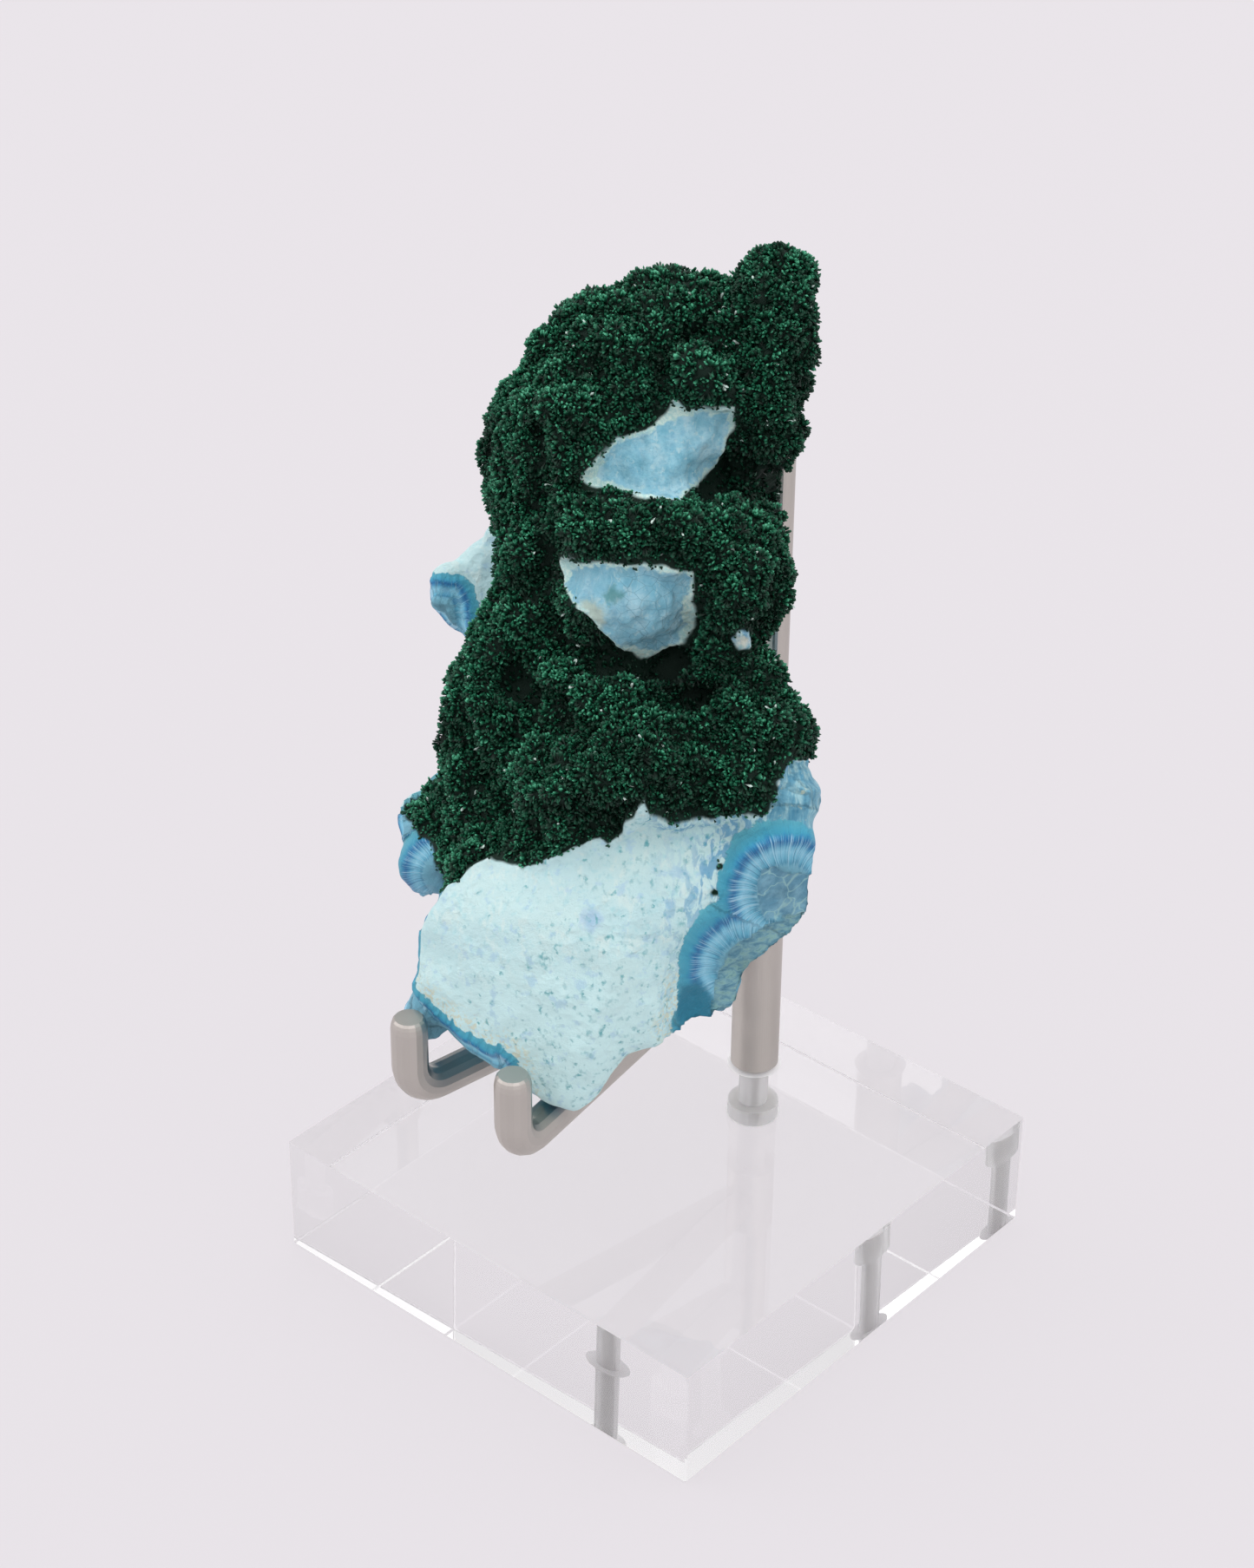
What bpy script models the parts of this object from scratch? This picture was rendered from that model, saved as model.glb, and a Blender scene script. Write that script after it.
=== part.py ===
"""A malachite and shattuckite specimen resting on a clear block stand.

The stand is a clear acrylic block with a steel post screwed to it from below.
Two round hook arms run forward from the post in a V and hold the stone's foot,
and a thin rod above the post holds its back. The stone is one piece: a slab of
pale shattuckite skin at its foot, broken open at its right end, and lumps of
green malachite piled above it.

The frame's origin is the middle of the block's underside, +Z is up and the
hooks face -Y.
"""

from math import cos, pi, radians, sin

import bmesh
import bpy
from mathutils import Matrix, Vector, noise

MM = 0.001

# Clear block
BLOCK_WIDTH = 80.0 * MM
BLOCK_DEPTH = 80.0 * MM
BLOCK_HEIGHT = 20.0 * MM
BLOCK_CHAMFER = 0.25 * MM
BLOCK_COLOR = (0.95, 0.96, 0.97)

# Post, with the screw that holds it from below
POST_Y = 23.1 * MM
POST_RADIUS = 3.75 * MM
POST_TOP = 52.0 * MM
POST_EDGE = 0.3 * MM
POST_BORE_RADIUS = 2.3 * MM
POST_BORE_DEPTH = 9.5 * MM
SCREW_RADIUS = 2.0 * MM
SCREW_HOLE_RADIUS = 2.3 * MM
SCREW_HEAD_RADIUS = 3.5 * MM
SCREW_HEAD_HEIGHT = 4.0 * MM
SCREW_REACH = 9.0 * MM
SCREW_EDGE = 0.3 * MM
STEEL_COLOR = (0.62, 0.60, 0.58)
SOCKET_RADIUS = 1.73 * MM
SOCKET_DEPTH = 2.2 * MM
COUNTERBORE_RADIUS = 4.0 * MM
COUNTERBORE_DEPTH = 5.0 * MM

# Rod behind the stone
ROD_Y = 24.8 * MM
ROD_RADIUS = 1.95 * MM
ROD_TOP = 132.0 * MM
ROD_EDGE = 0.6 * MM

# Hook arms
ARM_RADIUS = 2.65 * MM
ARM_HEIGHT = 46.1 * MM
HOOK_SPREAD = 10.0 * MM
HOOK_FRONT_Y = -43.0 * MM
HOOK_TIP_TOP = 59.2 * MM
HOOK_BEND_RADIUS = 5.0 * MM
HOOK_BEND_STEPS = 10
TIP_EDGE = 0.6 * MM
TIP_EDGE_DEPTH = 1.7 * MM
MITRE_REACH = 20.0 * MM

# Clearance between pieces that touch, and around the stone
GAP = 0.3 * MM
STONE_CLEARANCE = 0.6 * MM
CUT_OVERSHOOT = 1.0 * MM

# How the stone stands: turned on the hooks and leaning back on the rod
STONE_SEAT = Vector((0.0, -20.0 * MM, 50.0 * MM))
STONE_TURN = radians(41.0)
STONE_LEAN = radians(32.0)
STONE_FOOT = ARM_HEIGHT + ARM_RADIUS - 0.1 * MM
STONE_VOXEL = 1.2 * MM
STONE_SOFTENING = 3
MALACHITE_SOFTENING = 12
DRESSED_SOFTENING = 2
STONE_FACES = 7000
NODULE_SIZE = 5.5 * MM
NODULE_HEIGHT = 1.2 * MM
CRUST_HEIGHT = 0.6 * MM
CRUST_LEAST_FACING = -0.3
WINDOW_LEAST_FACING = 0.2
STONE_COLOR = (0.03, 0.16, 0.10)

# Lumps of the stone: name, centre (across, along, out), half sizes (across,
# along, out) and turn in the stone's face in degrees, all lengths in mm
LUMPS = [
    ("head_crown", (10.2, 92.6, 18.0), (16.2, 13.4, 13.5), 8),
    ("head_right_ridge", (27.0, 98.8, 26.0), (6.2, 10.8, 6.8), -8),
    ("head_right_ridge_foot", (26.6, 88.0, 25.0), (5.6, 8.0, 6.5), 0),
    ("head_top_right", (20.5, 97.6, 20.5), (8.0, 7.6, 9.0), 0),
    ("head_left", (0.2, 82.4, 19.0), (8.8, 12.2, 15.0), 0),
    ("head_front_bump", (18.0, 90.5, 24.5), (6.0, 5.0, 8.5), 0),
    ("cheek_left", (-6.4, 83.6, 13.0), (5.8, 8.5, 12.0), 0),
    ("cheek_left_low", (-6.5, 76.0, 12.0), (5.6, 7.5, 12.0), 0),
    ("waist_left", (-4.0, 67.5, 13.5), (6.4, 8.5, 13.0), 0),
    ("upper_window_floor", (12.5, 80.5, 20.0), (11.5, 7.5, 11.0), 25),
    ("waist_band", (9.5, 69.5, 25.0), (15.0, 5.8, 14.0), -4),
    ("cheek_right", (23.0, 63.5, 25.0), (6.6, 8.6, 12.0), 0),
    ("cheek_right_top", (23.5, 73.0, 21.0), (5.0, 6.8, 9.5), 0),
    ("lower_window_ball", (7.5, 61.0, 23.5), (9.6, 7.6, 13.0), 0),
    ("lump_right", (24.6, 43.5, 23.0), (8.2, 7.8, 12.5), 0),
    ("lump_right_low", (22.5, 36.0, 24.0), (7.8, 6.2, 11.5), 0),
    ("lump_right_top", (20.5, 51.0, 21.0), (7.6, 5.2, 10.5), 0),
    ("lump_centre", (9.5, 37.5, 24.0), (11.0, 9.4, 15.0), 0),
    ("lump_centre_left", (-0.5, 35.0, 20.0), (7.0, 8.4, 14.5), 0),
    ("lump_centre_top", (6.0, 47.5, 18.0), (11.5, 7.4, 13.0), 0),
    ("lump_left", (-9.2, 48.5, 8.0), (8.3, 9.8, 13.5), 14),
    ("lump_left_low", (-10.0, 38.0, 6.0), (8.2, 8.6, 13.0), 0),
    ("neck_left", (-4.0, 57.5, 11.0), (8.0, 8.0, 12.0), 0),
    ("wing", (-14.0, 30.0, -1.0), (8.0, 8.0, 8.0), 30),
    ("wing_low", (-10.0, 25.5, 5.0), (8.5, 6.0, 11.0), 0),
    ("wing_tip", (-19.0, 30.6, -4.0), (6.4, 3.0, 5.0), 0),
    ("blue_lump_left", (-19.3, 24.0, -3.0), (5.5, 5.2, 6.5), -35),
    ("backbone_top", (12.5, 87.0, 14.0), (15.0, 13.0, 8.0), 0),
    ("backbone_middle", (10.0, 60.0, 11.0), (15.0, 22.0, 11.5), 0),
    ("backbone_low", (6.0, 28.0, 8.5), (18.0, 16.0, 12.5), 0),
    ("right_piece", (30.4, 33.2, 26.5), (4.1, 5.3, 6.0), 0),
    ("botryoid_upper", (26.5, 22.5, 28.0), (6.8, 8.0, 9.2), 0),
    ("botryoid_lower", (18.5, 9.4, 18.0), (5.4, 5.6, 9.0), 0),
    ("foot_left", (-14.0, 9.0, 3.0), (7.4, 6.5, 9.0), 0),
    ("foot_lobe", (-20.9, 1.6, 5.0), (3.0, 3.8, 4.5), 30),
    ("foot_back", (8.0, 11.5, 2.5), (13.0, 9.0, 10.0), 0),
]

# Edge of the shattuckite slab, seen square on to the stone's face: across,
# along and out in mm, from its upper left corner down and round to the right
SLAB_EDGE = [
    (-19.5, 17.5, 17.5), (-21.5, 14.5, 15.5), (-21.5, 8.5, 13.5), (-23.0, 6.0, 11.5),
    (-19.5, 1.9, 12.0), (-14.6, -2.6, 14.0), (-9.6, -5.2, 16.0), (-5.2, -8.6, 17.0),
    (-1.5, -10.7, 18.5), (1.5, -11.0, 19.0), (4.1, -8.6, 20.0), (6.4, -4.4, 22.0),
    (8.5, -1.9, 23.0), (12.6, -1.3, 23.5), (14.6, 1.0, 23.0), (18.4, 2.7, 19.5),
    (23.8, 3.3, 18.0), (25.0, 9.6, 21.0), (28.2, 11.7, 22.5), (31.2, 14.2, 24.0),
    (33.8, 16.8, 25.5), (33.6, 23.0, 29.0), (33.6, 29.0, 31.5), (26.0, 36.0, 27.0),
    (10.0, 40.0, 24.0), (-6.0, 34.0, 20.0), (-16.0, 24.0, 17.0),
]
SLAB_CROWN = (8.0, 16.0, 32.5)
SLAB_BACK = (4.0, 16.0, -2.5)
SLAB_BACK_SHRINK = 0.9
SLAB_STEPS = (0.12, 0.3, 0.55, 0.8)

# Outline of the plate that sticks out at the back of the neck, across and
# along, and its back and front, all in mm
BACK_PLATE = [
    (-21.3, 60.3), (-17.4, 60.0), (-15.6, 55.6), (-14.4, 53.0), (-4.0, 52.0), (-4.0, 72.0),
    (-10.5, 74.0), (-13.2, 72.6), (-14.4, 68.2), (-19.0, 67.4), (-21.3, 66.2),
]
BACK_PLATE_BACK = -8.5
BACK_PLATE_FRONT = -1.5

# The broken right end: a point of the break and the way it faces, in the
# stone's own axes, and the least place across and the most along it, in mm
BREAK_POINT = (21.0, 15.0, 28.0)
BREAK_FACING = (0.45, -0.58, 0.68)
BREAK_LEAST_ACROSS = 13.5
BREAK_MOST_ALONG = 31.0

# Where the malachite starts, across and along in mm, from left to right
MALACHITE_EDGE = [
    (-40.0, 19.0), (-18.5, 19.5), (-16.0, 22.5), (-13.0, 24.0), (-9.5, 24.5), (-6.0, 23.5),
    (0.0, 25.0), (5.0, 26.0), (7.5, 27.5), (11.5, 32.0), (13.0, 29.5), (26.5, 30.5),
    (28.5, 35.3), (29.7, 38.5), (40.0, 39.0),
]

# The two bare windows in the malachite, across and along in mm
UPPER_WINDOW = [
    (1.0, 76.0), (5.5, 82.0), (10.0, 83.0), (13.0, 87.5), (22.0, 86.5), (19.5, 78.5),
    (14.5, 75.0), (10.5, 73.5),
]
LOWER_WINDOW = [
    (-1.5, 66.0), (9.0, 64.5), (16.0, 63.0), (16.5, 56.0), (9.5, 53.0), (4.0, 56.0),
    (-1.0, 62.0),
]
WINDOW_DEPTH = 0.3 * MM

# Hollows in the malachite's front: the ends of a run, across and along, how
# far it reaches and how deep it is, all in mm
HOLLOWS = [
    ((19.5, 77.6), (28.0, 77.0), 5.0, 3.4),
    ((21.4, 85.0), (22.6, 81.5), 2.4, 1.4),
    ((4.9, 52.2), (13.4, 51.6), 3.4, 2.6),
    ((13.6, 46.8), (16.8, 46.5), 2.8, 2.4),
    ((-8.0, 50.0), (-1.8, 44.8), 2.8, 2.4),
    ((-2.4, 44.0), (-5.0, 36.0), 2.6, 2.0),
    ((-16.5, 41.5), (-13.5, 35.5), 4.2, 2.6),
    ((-10.4, 89.0), (-11.2, 80.0), 1.8, 1.2),
    ((-14.0, 79.3), (-10.0, 77.6), 2.0, 1.8),
    ((-5.0, 83.0), (-3.4, 67.0), 2.4, 1.9),
    ((27.4, 68.0), (27.4, 59.5), 2.0, 1.3),
]


def clear_scene():
    """Empty the scene."""
    for obj in list(bpy.data.objects):
        bpy.data.objects.remove(obj, do_unlink=True)


def principled(name, color, roughness, metallic=0.0, alpha=1.0):
    """A plain Principled material."""
    material = bpy.data.materials.new(name)
    material.use_nodes = True
    shader = material.node_tree.nodes["Principled BSDF"]
    shader.inputs["Base Color"].default_value = (*color, 1.0)
    shader.inputs["Roughness"].default_value = roughness
    shader.inputs["Metallic"].default_value = metallic
    shader.inputs["Alpha"].default_value = alpha
    return material


def add_object(name, mesh, material=None):
    """Link a mesh into the scene under a name, with a material."""
    obj = bpy.data.objects.new(name, mesh)
    bpy.context.collection.objects.link(obj)
    if material:
        mesh.materials.clear()
        mesh.materials.append(material)
    return obj


def evaluated_mesh(obj):
    """The mesh that an object's modifiers give, as a new mesh."""
    depsgraph = bpy.context.evaluated_depsgraph_get()
    return bpy.data.meshes.new_from_object(obj.evaluated_get(depsgraph))


def shade(mesh, angle=35.0):
    """Smooth shading with sharp edges kept."""
    mesh.shade_smooth()
    mesh.set_sharp_from_angle(angle=radians(angle))


def turned_mesh(name, profile, segments=48):
    """A closed solid of revolution about Z, from a bottom-to-top profile of
    (radius, height) that starts and ends on the axis."""
    bm = bmesh.new()
    bottom = bm.verts.new((0.0, 0.0, profile[0][1]))
    top = bm.verts.new((0.0, 0.0, profile[-1][1]))
    rings = []
    for radius, height in profile[1:-1]:
        ring = []
        for step in range(segments):
            angle = 2 * pi * step / segments
            ring.append(bm.verts.new((radius * cos(angle), radius * sin(angle), height)))
        rings.append(ring)
    for step in range(segments):
        after = (step + 1) % segments
        bm.faces.new((bottom, rings[0][after], rings[0][step]))
        bm.faces.new((top, rings[-1][step], rings[-1][after]))
        for low, high in zip(rings, rings[1:]):
            bm.faces.new((low[step], low[after], high[after], high[step]))
    mesh = bpy.data.meshes.new(name)
    bm.to_mesh(mesh)
    bm.free()
    return mesh


def cutter(name, mesh, location=(0.0, 0.0, 0.0)):
    """A guide object that only cuts others."""
    obj = add_object(name, mesh)
    obj.location = location
    obj.hide_render = True
    obj.display_type = 'WIRE'
    return obj


def subtract(obj, tool):
    """Cut a tool's shape out of an object."""
    modifier = obj.modifiers.new("cut_" + tool.name, 'BOOLEAN')
    modifier.operation = 'DIFFERENCE'
    modifier.object = tool


def box_mesh(name, low, high):
    """An axis-aligned box between two corners."""
    bm = bmesh.new()
    bmesh.ops.create_cube(bm, size=1.0)
    size = Vector(high) - Vector(low)
    bmesh.ops.scale(bm, vec=size, verts=bm.verts)
    bmesh.ops.translate(bm, vec=(Vector(high) + Vector(low)) / 2, verts=bm.verts)
    mesh = bpy.data.meshes.new(name)
    bm.to_mesh(mesh)
    bm.free()
    return mesh


def make_block():
    """The clear block, with a counterbored hole for the post's screw."""
    clear = principled("clear_acrylic", BLOCK_COLOR, 0.03, alpha=0.3)
    low = (-BLOCK_WIDTH / 2, -BLOCK_DEPTH / 2, 0.0)
    high = (BLOCK_WIDTH / 2, BLOCK_DEPTH / 2, BLOCK_HEIGHT)
    block = add_object("acrylic_block", box_mesh("acrylic_block", low, high), clear)
    bevel = block.modifiers.new("chamfer", 'BEVEL')
    bevel.width = BLOCK_CHAMFER
    bevel.segments = 1
    bevel.limit_method = 'ANGLE'
    hole = turned_mesh("screw_hole", [
        (0.0, -CUT_OVERSHOOT),
        (COUNTERBORE_RADIUS, -CUT_OVERSHOOT),
        (COUNTERBORE_RADIUS, COUNTERBORE_DEPTH),
        (SCREW_HOLE_RADIUS, COUNTERBORE_DEPTH),
        (SCREW_HOLE_RADIUS, BLOCK_HEIGHT + CUT_OVERSHOOT),
        (0.0, BLOCK_HEIGHT + CUT_OVERSHOOT),
    ])
    subtract(block, cutter("screw_hole", hole, (0.0, POST_Y, 0.0)))


def make_screw(steel):
    """The cap screw that holds the post from below, with a hexagon socket."""
    head_top = COUNTERBORE_DEPTH - GAP
    head_bottom = head_top - SCREW_HEAD_HEIGHT
    tip = BLOCK_HEIGHT + SCREW_REACH
    mesh = turned_mesh("base_screw", [
        (0.0, head_bottom),
        (SCREW_HEAD_RADIUS - SCREW_EDGE, head_bottom),
        (SCREW_HEAD_RADIUS, head_bottom + SCREW_EDGE),
        (SCREW_HEAD_RADIUS, head_top),
        (SCREW_RADIUS, head_top),
        (SCREW_RADIUS, tip - SCREW_EDGE),
        (SCREW_RADIUS - SCREW_EDGE, tip),
        (0.0, tip),
    ], segments=32)
    shade(mesh)
    screw = add_object("base_screw", mesh, steel)
    screw.location = (0.0, POST_Y, 0.0)
    socket = turned_mesh("hex_socket", [
        (0.0, head_bottom - CUT_OVERSHOOT),
        (SOCKET_RADIUS, head_bottom - CUT_OVERSHOOT),
        (SOCKET_RADIUS, head_bottom + SOCKET_DEPTH),
        (0.0, head_bottom + SOCKET_DEPTH),
    ], segments=6)
    subtract(screw, cutter("hex_socket", socket, screw.location))


def make_post(steel):
    """The short steel post on the block, bored from below for its screw."""
    bottom = BLOCK_HEIGHT + GAP
    mesh = turned_mesh("post_sleeve", [
        (0.0, bottom + POST_BORE_DEPTH),
        (POST_BORE_RADIUS, bottom + POST_BORE_DEPTH),
        (POST_BORE_RADIUS, bottom),
        (POST_RADIUS - POST_EDGE, bottom),
        (POST_RADIUS, bottom + POST_EDGE),
        (POST_RADIUS, POST_TOP - POST_EDGE),
        (POST_RADIUS - POST_EDGE, POST_TOP),
        (0.0, POST_TOP),
    ], segments=64)
    shade(mesh)
    post = add_object("post_sleeve", mesh, steel)
    post.location = (0.0, POST_Y, 0.0)


def make_rod(steel):
    """The thin rod that stands on the post and holds the stone's back."""
    bottom = POST_TOP + GAP
    mesh = turned_mesh("back_rod", [
        (0.0, bottom),
        (ROD_RADIUS, bottom),
        (ROD_RADIUS, ROD_TOP - ROD_EDGE),
        (ROD_RADIUS - ROD_EDGE / 2, ROD_TOP - ROD_EDGE / 4),
        (ROD_RADIUS - ROD_EDGE, ROD_TOP),
        (0.0, ROD_TOP),
    ], segments=32)
    shade(mesh, 50.0)
    rod = add_object("back_rod", mesh, steel)
    rod.location = (0.0, ROD_Y, 0.0)


def arm_path(side):
    """Centreline of one hook arm, from its tip down round the bend and back to
    the post, as (point, thickness factor)."""
    front = Vector((side * HOOK_SPREAD, HOOK_FRONT_Y, 0.0))
    post = Vector((0.0, POST_Y, 0.0))
    back = (post - front).normalized()
    up = Vector((0.0, 0.0, 1.0))
    tip = front + up * HOOK_TIP_TOP
    path = [
        (tip, 1.0 - TIP_EDGE / ARM_RADIUS),
        (tip - up * TIP_EDGE_DEPTH * 0.2, 1.0 - 0.5 * TIP_EDGE / ARM_RADIUS),
        (tip - up * TIP_EDGE_DEPTH * 0.5, 1.0 - 0.2 * TIP_EDGE / ARM_RADIUS),
        (tip - up * TIP_EDGE_DEPTH, 1.0),
    ]
    centre = front + back * HOOK_BEND_RADIUS + up * (ARM_HEIGHT + HOOK_BEND_RADIUS)
    for step in range(HOOK_BEND_STEPS + 1):
        angle = 0.5 * pi * step / HOOK_BEND_STEPS
        outward = back * cos(angle) + up * sin(angle)
        path.append((centre - outward * HOOK_BEND_RADIUS, 1.0))
    path.append((post + up * ARM_HEIGHT, 1.0))
    return path


def make_arm(name, side, steel, post_cutter):
    """One hook arm, mitred against the other arm and saddled onto the post."""
    curve = bpy.data.curves.new(name + "_path", 'CURVE')
    curve.dimensions = '3D'
    curve.bevel_depth = ARM_RADIUS
    curve.bevel_resolution = 6
    curve.use_fill_caps = True
    path = arm_path(side)
    spline = curve.splines.new('POLY')
    spline.points.add(len(path) - 1)
    for point, (place, thickness) in zip(spline.points, path):
        point.co = (*place, 1.0)
        point.radius = thickness
    guide = add_object(name + "_guide", curve)
    mesh = evaluated_mesh(guide)
    bpy.data.objects.remove(guide, do_unlink=True)
    shade(mesh)
    arm = add_object(name, mesh, steel)
    low = (-MITRE_REACH, -MITRE_REACH, ARM_HEIGHT - MITRE_REACH)
    high = (GAP / 2, BLOCK_DEPTH, ARM_HEIGHT + MITRE_REACH)
    half = box_mesh(name + "_mitre", low, high)
    mitre = cutter(name + "_mitre", half)
    if side < 0:
        half.transform(Matrix.Scale(-1.0, 4, Vector((1.0, 0.0, 0.0))))
        half.flip_normals()
    subtract(arm, mitre)
    subtract(arm, post_cutter)


def make_arms(steel):
    """Both hook arms."""
    fat = POST_RADIUS + GAP
    cylinder = turned_mesh("post_clearance", [
        (0.0, BLOCK_HEIGHT),
        (fat, BLOCK_HEIGHT),
        (fat, POST_TOP + fat),
        (0.0, POST_TOP + fat),
    ], segments=64)
    post_cutter = cutter("post_clearance", cylinder, (0.0, POST_Y, 0.0))
    make_arm("left_hook_arm", -1, steel, post_cutter)
    make_arm("right_hook_arm", 1, steel, post_cutter)


def stone_axes():
    """The stone's own axes: across its face, along it and out of it."""
    across = Vector((cos(STONE_TURN), sin(STONE_TURN), 0.0))
    level = Vector((sin(STONE_TURN), -cos(STONE_TURN), 0.0))
    out = level * cos(STONE_LEAN) + Vector((0.0, 0.0, sin(STONE_LEAN)))
    along = out.cross(across)
    return across, along, out


def stone_matrix():
    """From the stone's own axes to the frame."""
    across, along, out = stone_axes()
    matrix = Matrix((across, along, out)).transposed().to_4x4()
    return Matrix.Translation(STONE_SEAT) @ matrix


def add_lump(bm, centre, half_sizes, turn):
    """One rounded lump of the stone."""
    place = Matrix.Translation(Vector(centre) * MM)
    spin = Matrix.Rotation(radians(turn), 4, 'Z')
    stretch = Matrix.Diagonal((*(Vector(half_sizes) * MM), 1.0))
    bmesh.ops.create_icosphere(bm, subdivisions=3, radius=1.0, matrix=place @ spin @ stretch)


def add_back_plate(bm):
    """The plate at the back of the neck, straight-sided."""
    rings = []
    for out in (BACK_PLATE_BACK, BACK_PLATE_FRONT):
        rings.append([bm.verts.new(Vector((*place, out)) * MM) for place in BACK_PLATE])
    back, front = rings
    bm.faces.new(front)
    bm.faces.new(back[::-1])
    count = len(BACK_PLATE)
    for step in range(count):
        after = (step + 1) % count
        bm.faces.new((back[step], back[after], front[after], front[step]))


def add_slab(bm):
    """The slab: a domed front over its edge, and a smaller back."""
    crown = Vector(SLAB_CROWN) * MM
    back = Vector(SLAB_BACK) * MM
    edge = [Vector(point) * MM for point in SLAB_EDGE]
    rings = []
    shrunk = []
    for point in edge:
        inner = back + (point - back) * SLAB_BACK_SHRINK
        shrunk.append(bm.verts.new((inner.x, inner.y, back.z)))
    rings.append(shrunk)
    rings.append([bm.verts.new(point) for point in edge])
    for step in SLAB_STEPS:
        ring = []
        for point in edge:
            inner = point.lerp(crown, step)
            inner.z = point.z + (crown.z - point.z) * sin(step * pi / 2)
            ring.append(bm.verts.new(inner))
        rings.append(ring)
    back_vertex = bm.verts.new(back)
    crown_vertex = bm.verts.new(crown)
    count = len(edge)
    for step in range(count):
        after = (step + 1) % count
        bm.faces.new((back_vertex, rings[0][after], rings[0][step]))
        bm.faces.new((crown_vertex, rings[-1][step], rings[-1][after]))
        for low, high in zip(rings, rings[1:]):
            bm.faces.new((low[step], low[after], high[after], high[step]))


def inside(outline, across, along):
    """Whether a point of the stone's face lies inside an outline."""
    hit = False
    for (x0, y0), (x1, y1) in zip(outline, outline[1:] + outline[:1]):
        if (y0 > along) != (y1 > along):
            if across < x0 + (along - y0) * (x1 - x0) / (y1 - y0):
                hit = not hit
    return hit


def malachite_start(across):
    """How far along the stone the malachite starts, at a place across it."""
    for (x0, y0), (x1, y1) in zip(MALACHITE_EDGE, MALACHITE_EDGE[1:]):
        if x0 <= across <= x1:
            return y0 + (y1 - y0) * (across - x0) / (x1 - x0)
    return MALACHITE_EDGE[-1][1]


def in_malachite(point):
    """Whether a point of the stone, in its own axes, lies in the malachite."""
    across, along, out = point / MM
    on_plate = out < BACK_PLATE_FRONT + 1.0 and inside(BACK_PLATE, across, along)
    return along > malachite_start(across) and not on_plate


def nodules(point):
    """Rounded nodules of the malachite, from 0 in their creases to 1."""
    distances, _ = noise.voronoi(point / NODULE_SIZE)
    return 1.0 - min(distances[0], 1.0)


def nearest_on(start, end, point):
    """Nearest point of a straight run to a point."""
    run = end - start
    share = (point - start).dot(run) / run.length_squared
    return start + run * min(max(share, 0.0), 1.0)


def hollow_depth(point):
    """How deep the hollows are at a point of the stone."""
    place = point.to_2d() / MM
    depth = 0.0
    for start, end, reach, deepest in HOLLOWS:
        gap = (place - nearest_on(Vector(start), Vector(end), place)).length
        depth = max(depth, deepest * max(0.0, 1.0 - (gap / reach) ** 2) ** 2)
    return depth * MM


def dress_stone(mesh):
    """Raise the malachite crust with its nodules, and sink the windows."""
    offsets = []
    for vertex in mesh.vertices:
        across, along = vertex.co.x / MM, vertex.co.y / MM
        facing = vertex.normal.z
        height = 0.0
        if in_malachite(vertex.co) and facing > CRUST_LEAST_FACING:
            height = CRUST_HEIGHT + NODULE_HEIGHT * nodules(vertex.co)
            for window in (UPPER_WINDOW, LOWER_WINDOW):
                if facing > WINDOW_LEAST_FACING and inside(window, across, along):
                    height = -WINDOW_DEPTH
        sunk = hollow_depth(vertex.co) * min(max(facing + 0.2, 0.0) / 0.6, 1.0)
        offsets.append(vertex.normal * height - Vector((0.0, 0.0, sunk)))
    for vertex, offset in zip(mesh.vertices, offsets):
        vertex.co += offset


def break_end(mesh):
    """Break the slab's right end off, flat."""
    origin = Vector(BREAK_POINT) * MM
    normal = Vector(BREAK_FACING).normalized()
    for vertex in mesh.vertices:
        beyond = (vertex.co - origin).dot(normal)
        near_end = vertex.co.x > BREAK_LEAST_ACROSS * MM and vertex.co.y < BREAK_MOST_ALONG * MM
        if beyond > 0 and near_end:
            vertex.co -= normal * beyond


def supports():
    """Centrelines and radii of what the stone must stay clear of."""
    lines = []
    for side in (-1, 1):
        path = [place for place, _ in arm_path(side)]
        for start, end in zip(path, path[1:]):
            lines.append((start, end, ARM_RADIUS))
    foot = Vector((0.0, ROD_Y, POST_TOP))
    lines.append((foot, Vector((0.0, ROD_Y, ROD_TOP)), ROD_RADIUS))
    post = Vector((0.0, POST_Y, 0.0))
    lines.append((post, post + Vector((0.0, 0.0, POST_TOP)), POST_RADIUS))
    return lines


def seat_stone(mesh, clearance):
    """Give the stone a foot on the arms, and keep it clear of the stand."""
    lines = supports()
    for vertex in mesh.vertices:
        vertex.co.z = max(vertex.co.z, STONE_FOOT)
        for start, end, radius in lines:
            nearest = nearest_on(start, end, vertex.co)
            away = vertex.co - nearest
            if away.length < radius + clearance:
                vertex.co = nearest + away.normalized() * (radius + clearance)


def fused_mesh(rough):
    """One closed skin over the stone's overlapping shapes."""
    guide = add_object("stone_guide", rough)
    fuse = guide.modifiers.new("fuse", 'REMESH')
    fuse.mode = 'VOXEL'
    fuse.voxel_size = STONE_VOXEL
    mesh = evaluated_mesh(guide)
    bpy.data.objects.remove(guide, do_unlink=True)
    return mesh


def softened_mesh(mesh, all_over, in_green):
    """Soften the stone by so many rounds all over, and by more in its malachite."""
    guide = add_object("stone_soft_guide", mesh)
    group = guide.vertex_groups.new(name="malachite")
    group.add([v.index for v in mesh.vertices if in_malachite(v.co)], 1.0, 'REPLACE')
    soften = guide.modifiers.new("soften", 'SMOOTH')
    soften.factor = 0.5
    soften.iterations = all_over
    merge_lumps = guide.modifiers.new("merge_lumps", 'SMOOTH')
    merge_lumps.factor = 0.5
    merge_lumps.iterations = in_green
    merge_lumps.vertex_group = group.name
    soft = evaluated_mesh(guide)
    bpy.data.objects.remove(guide, do_unlink=True)
    return soft


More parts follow.
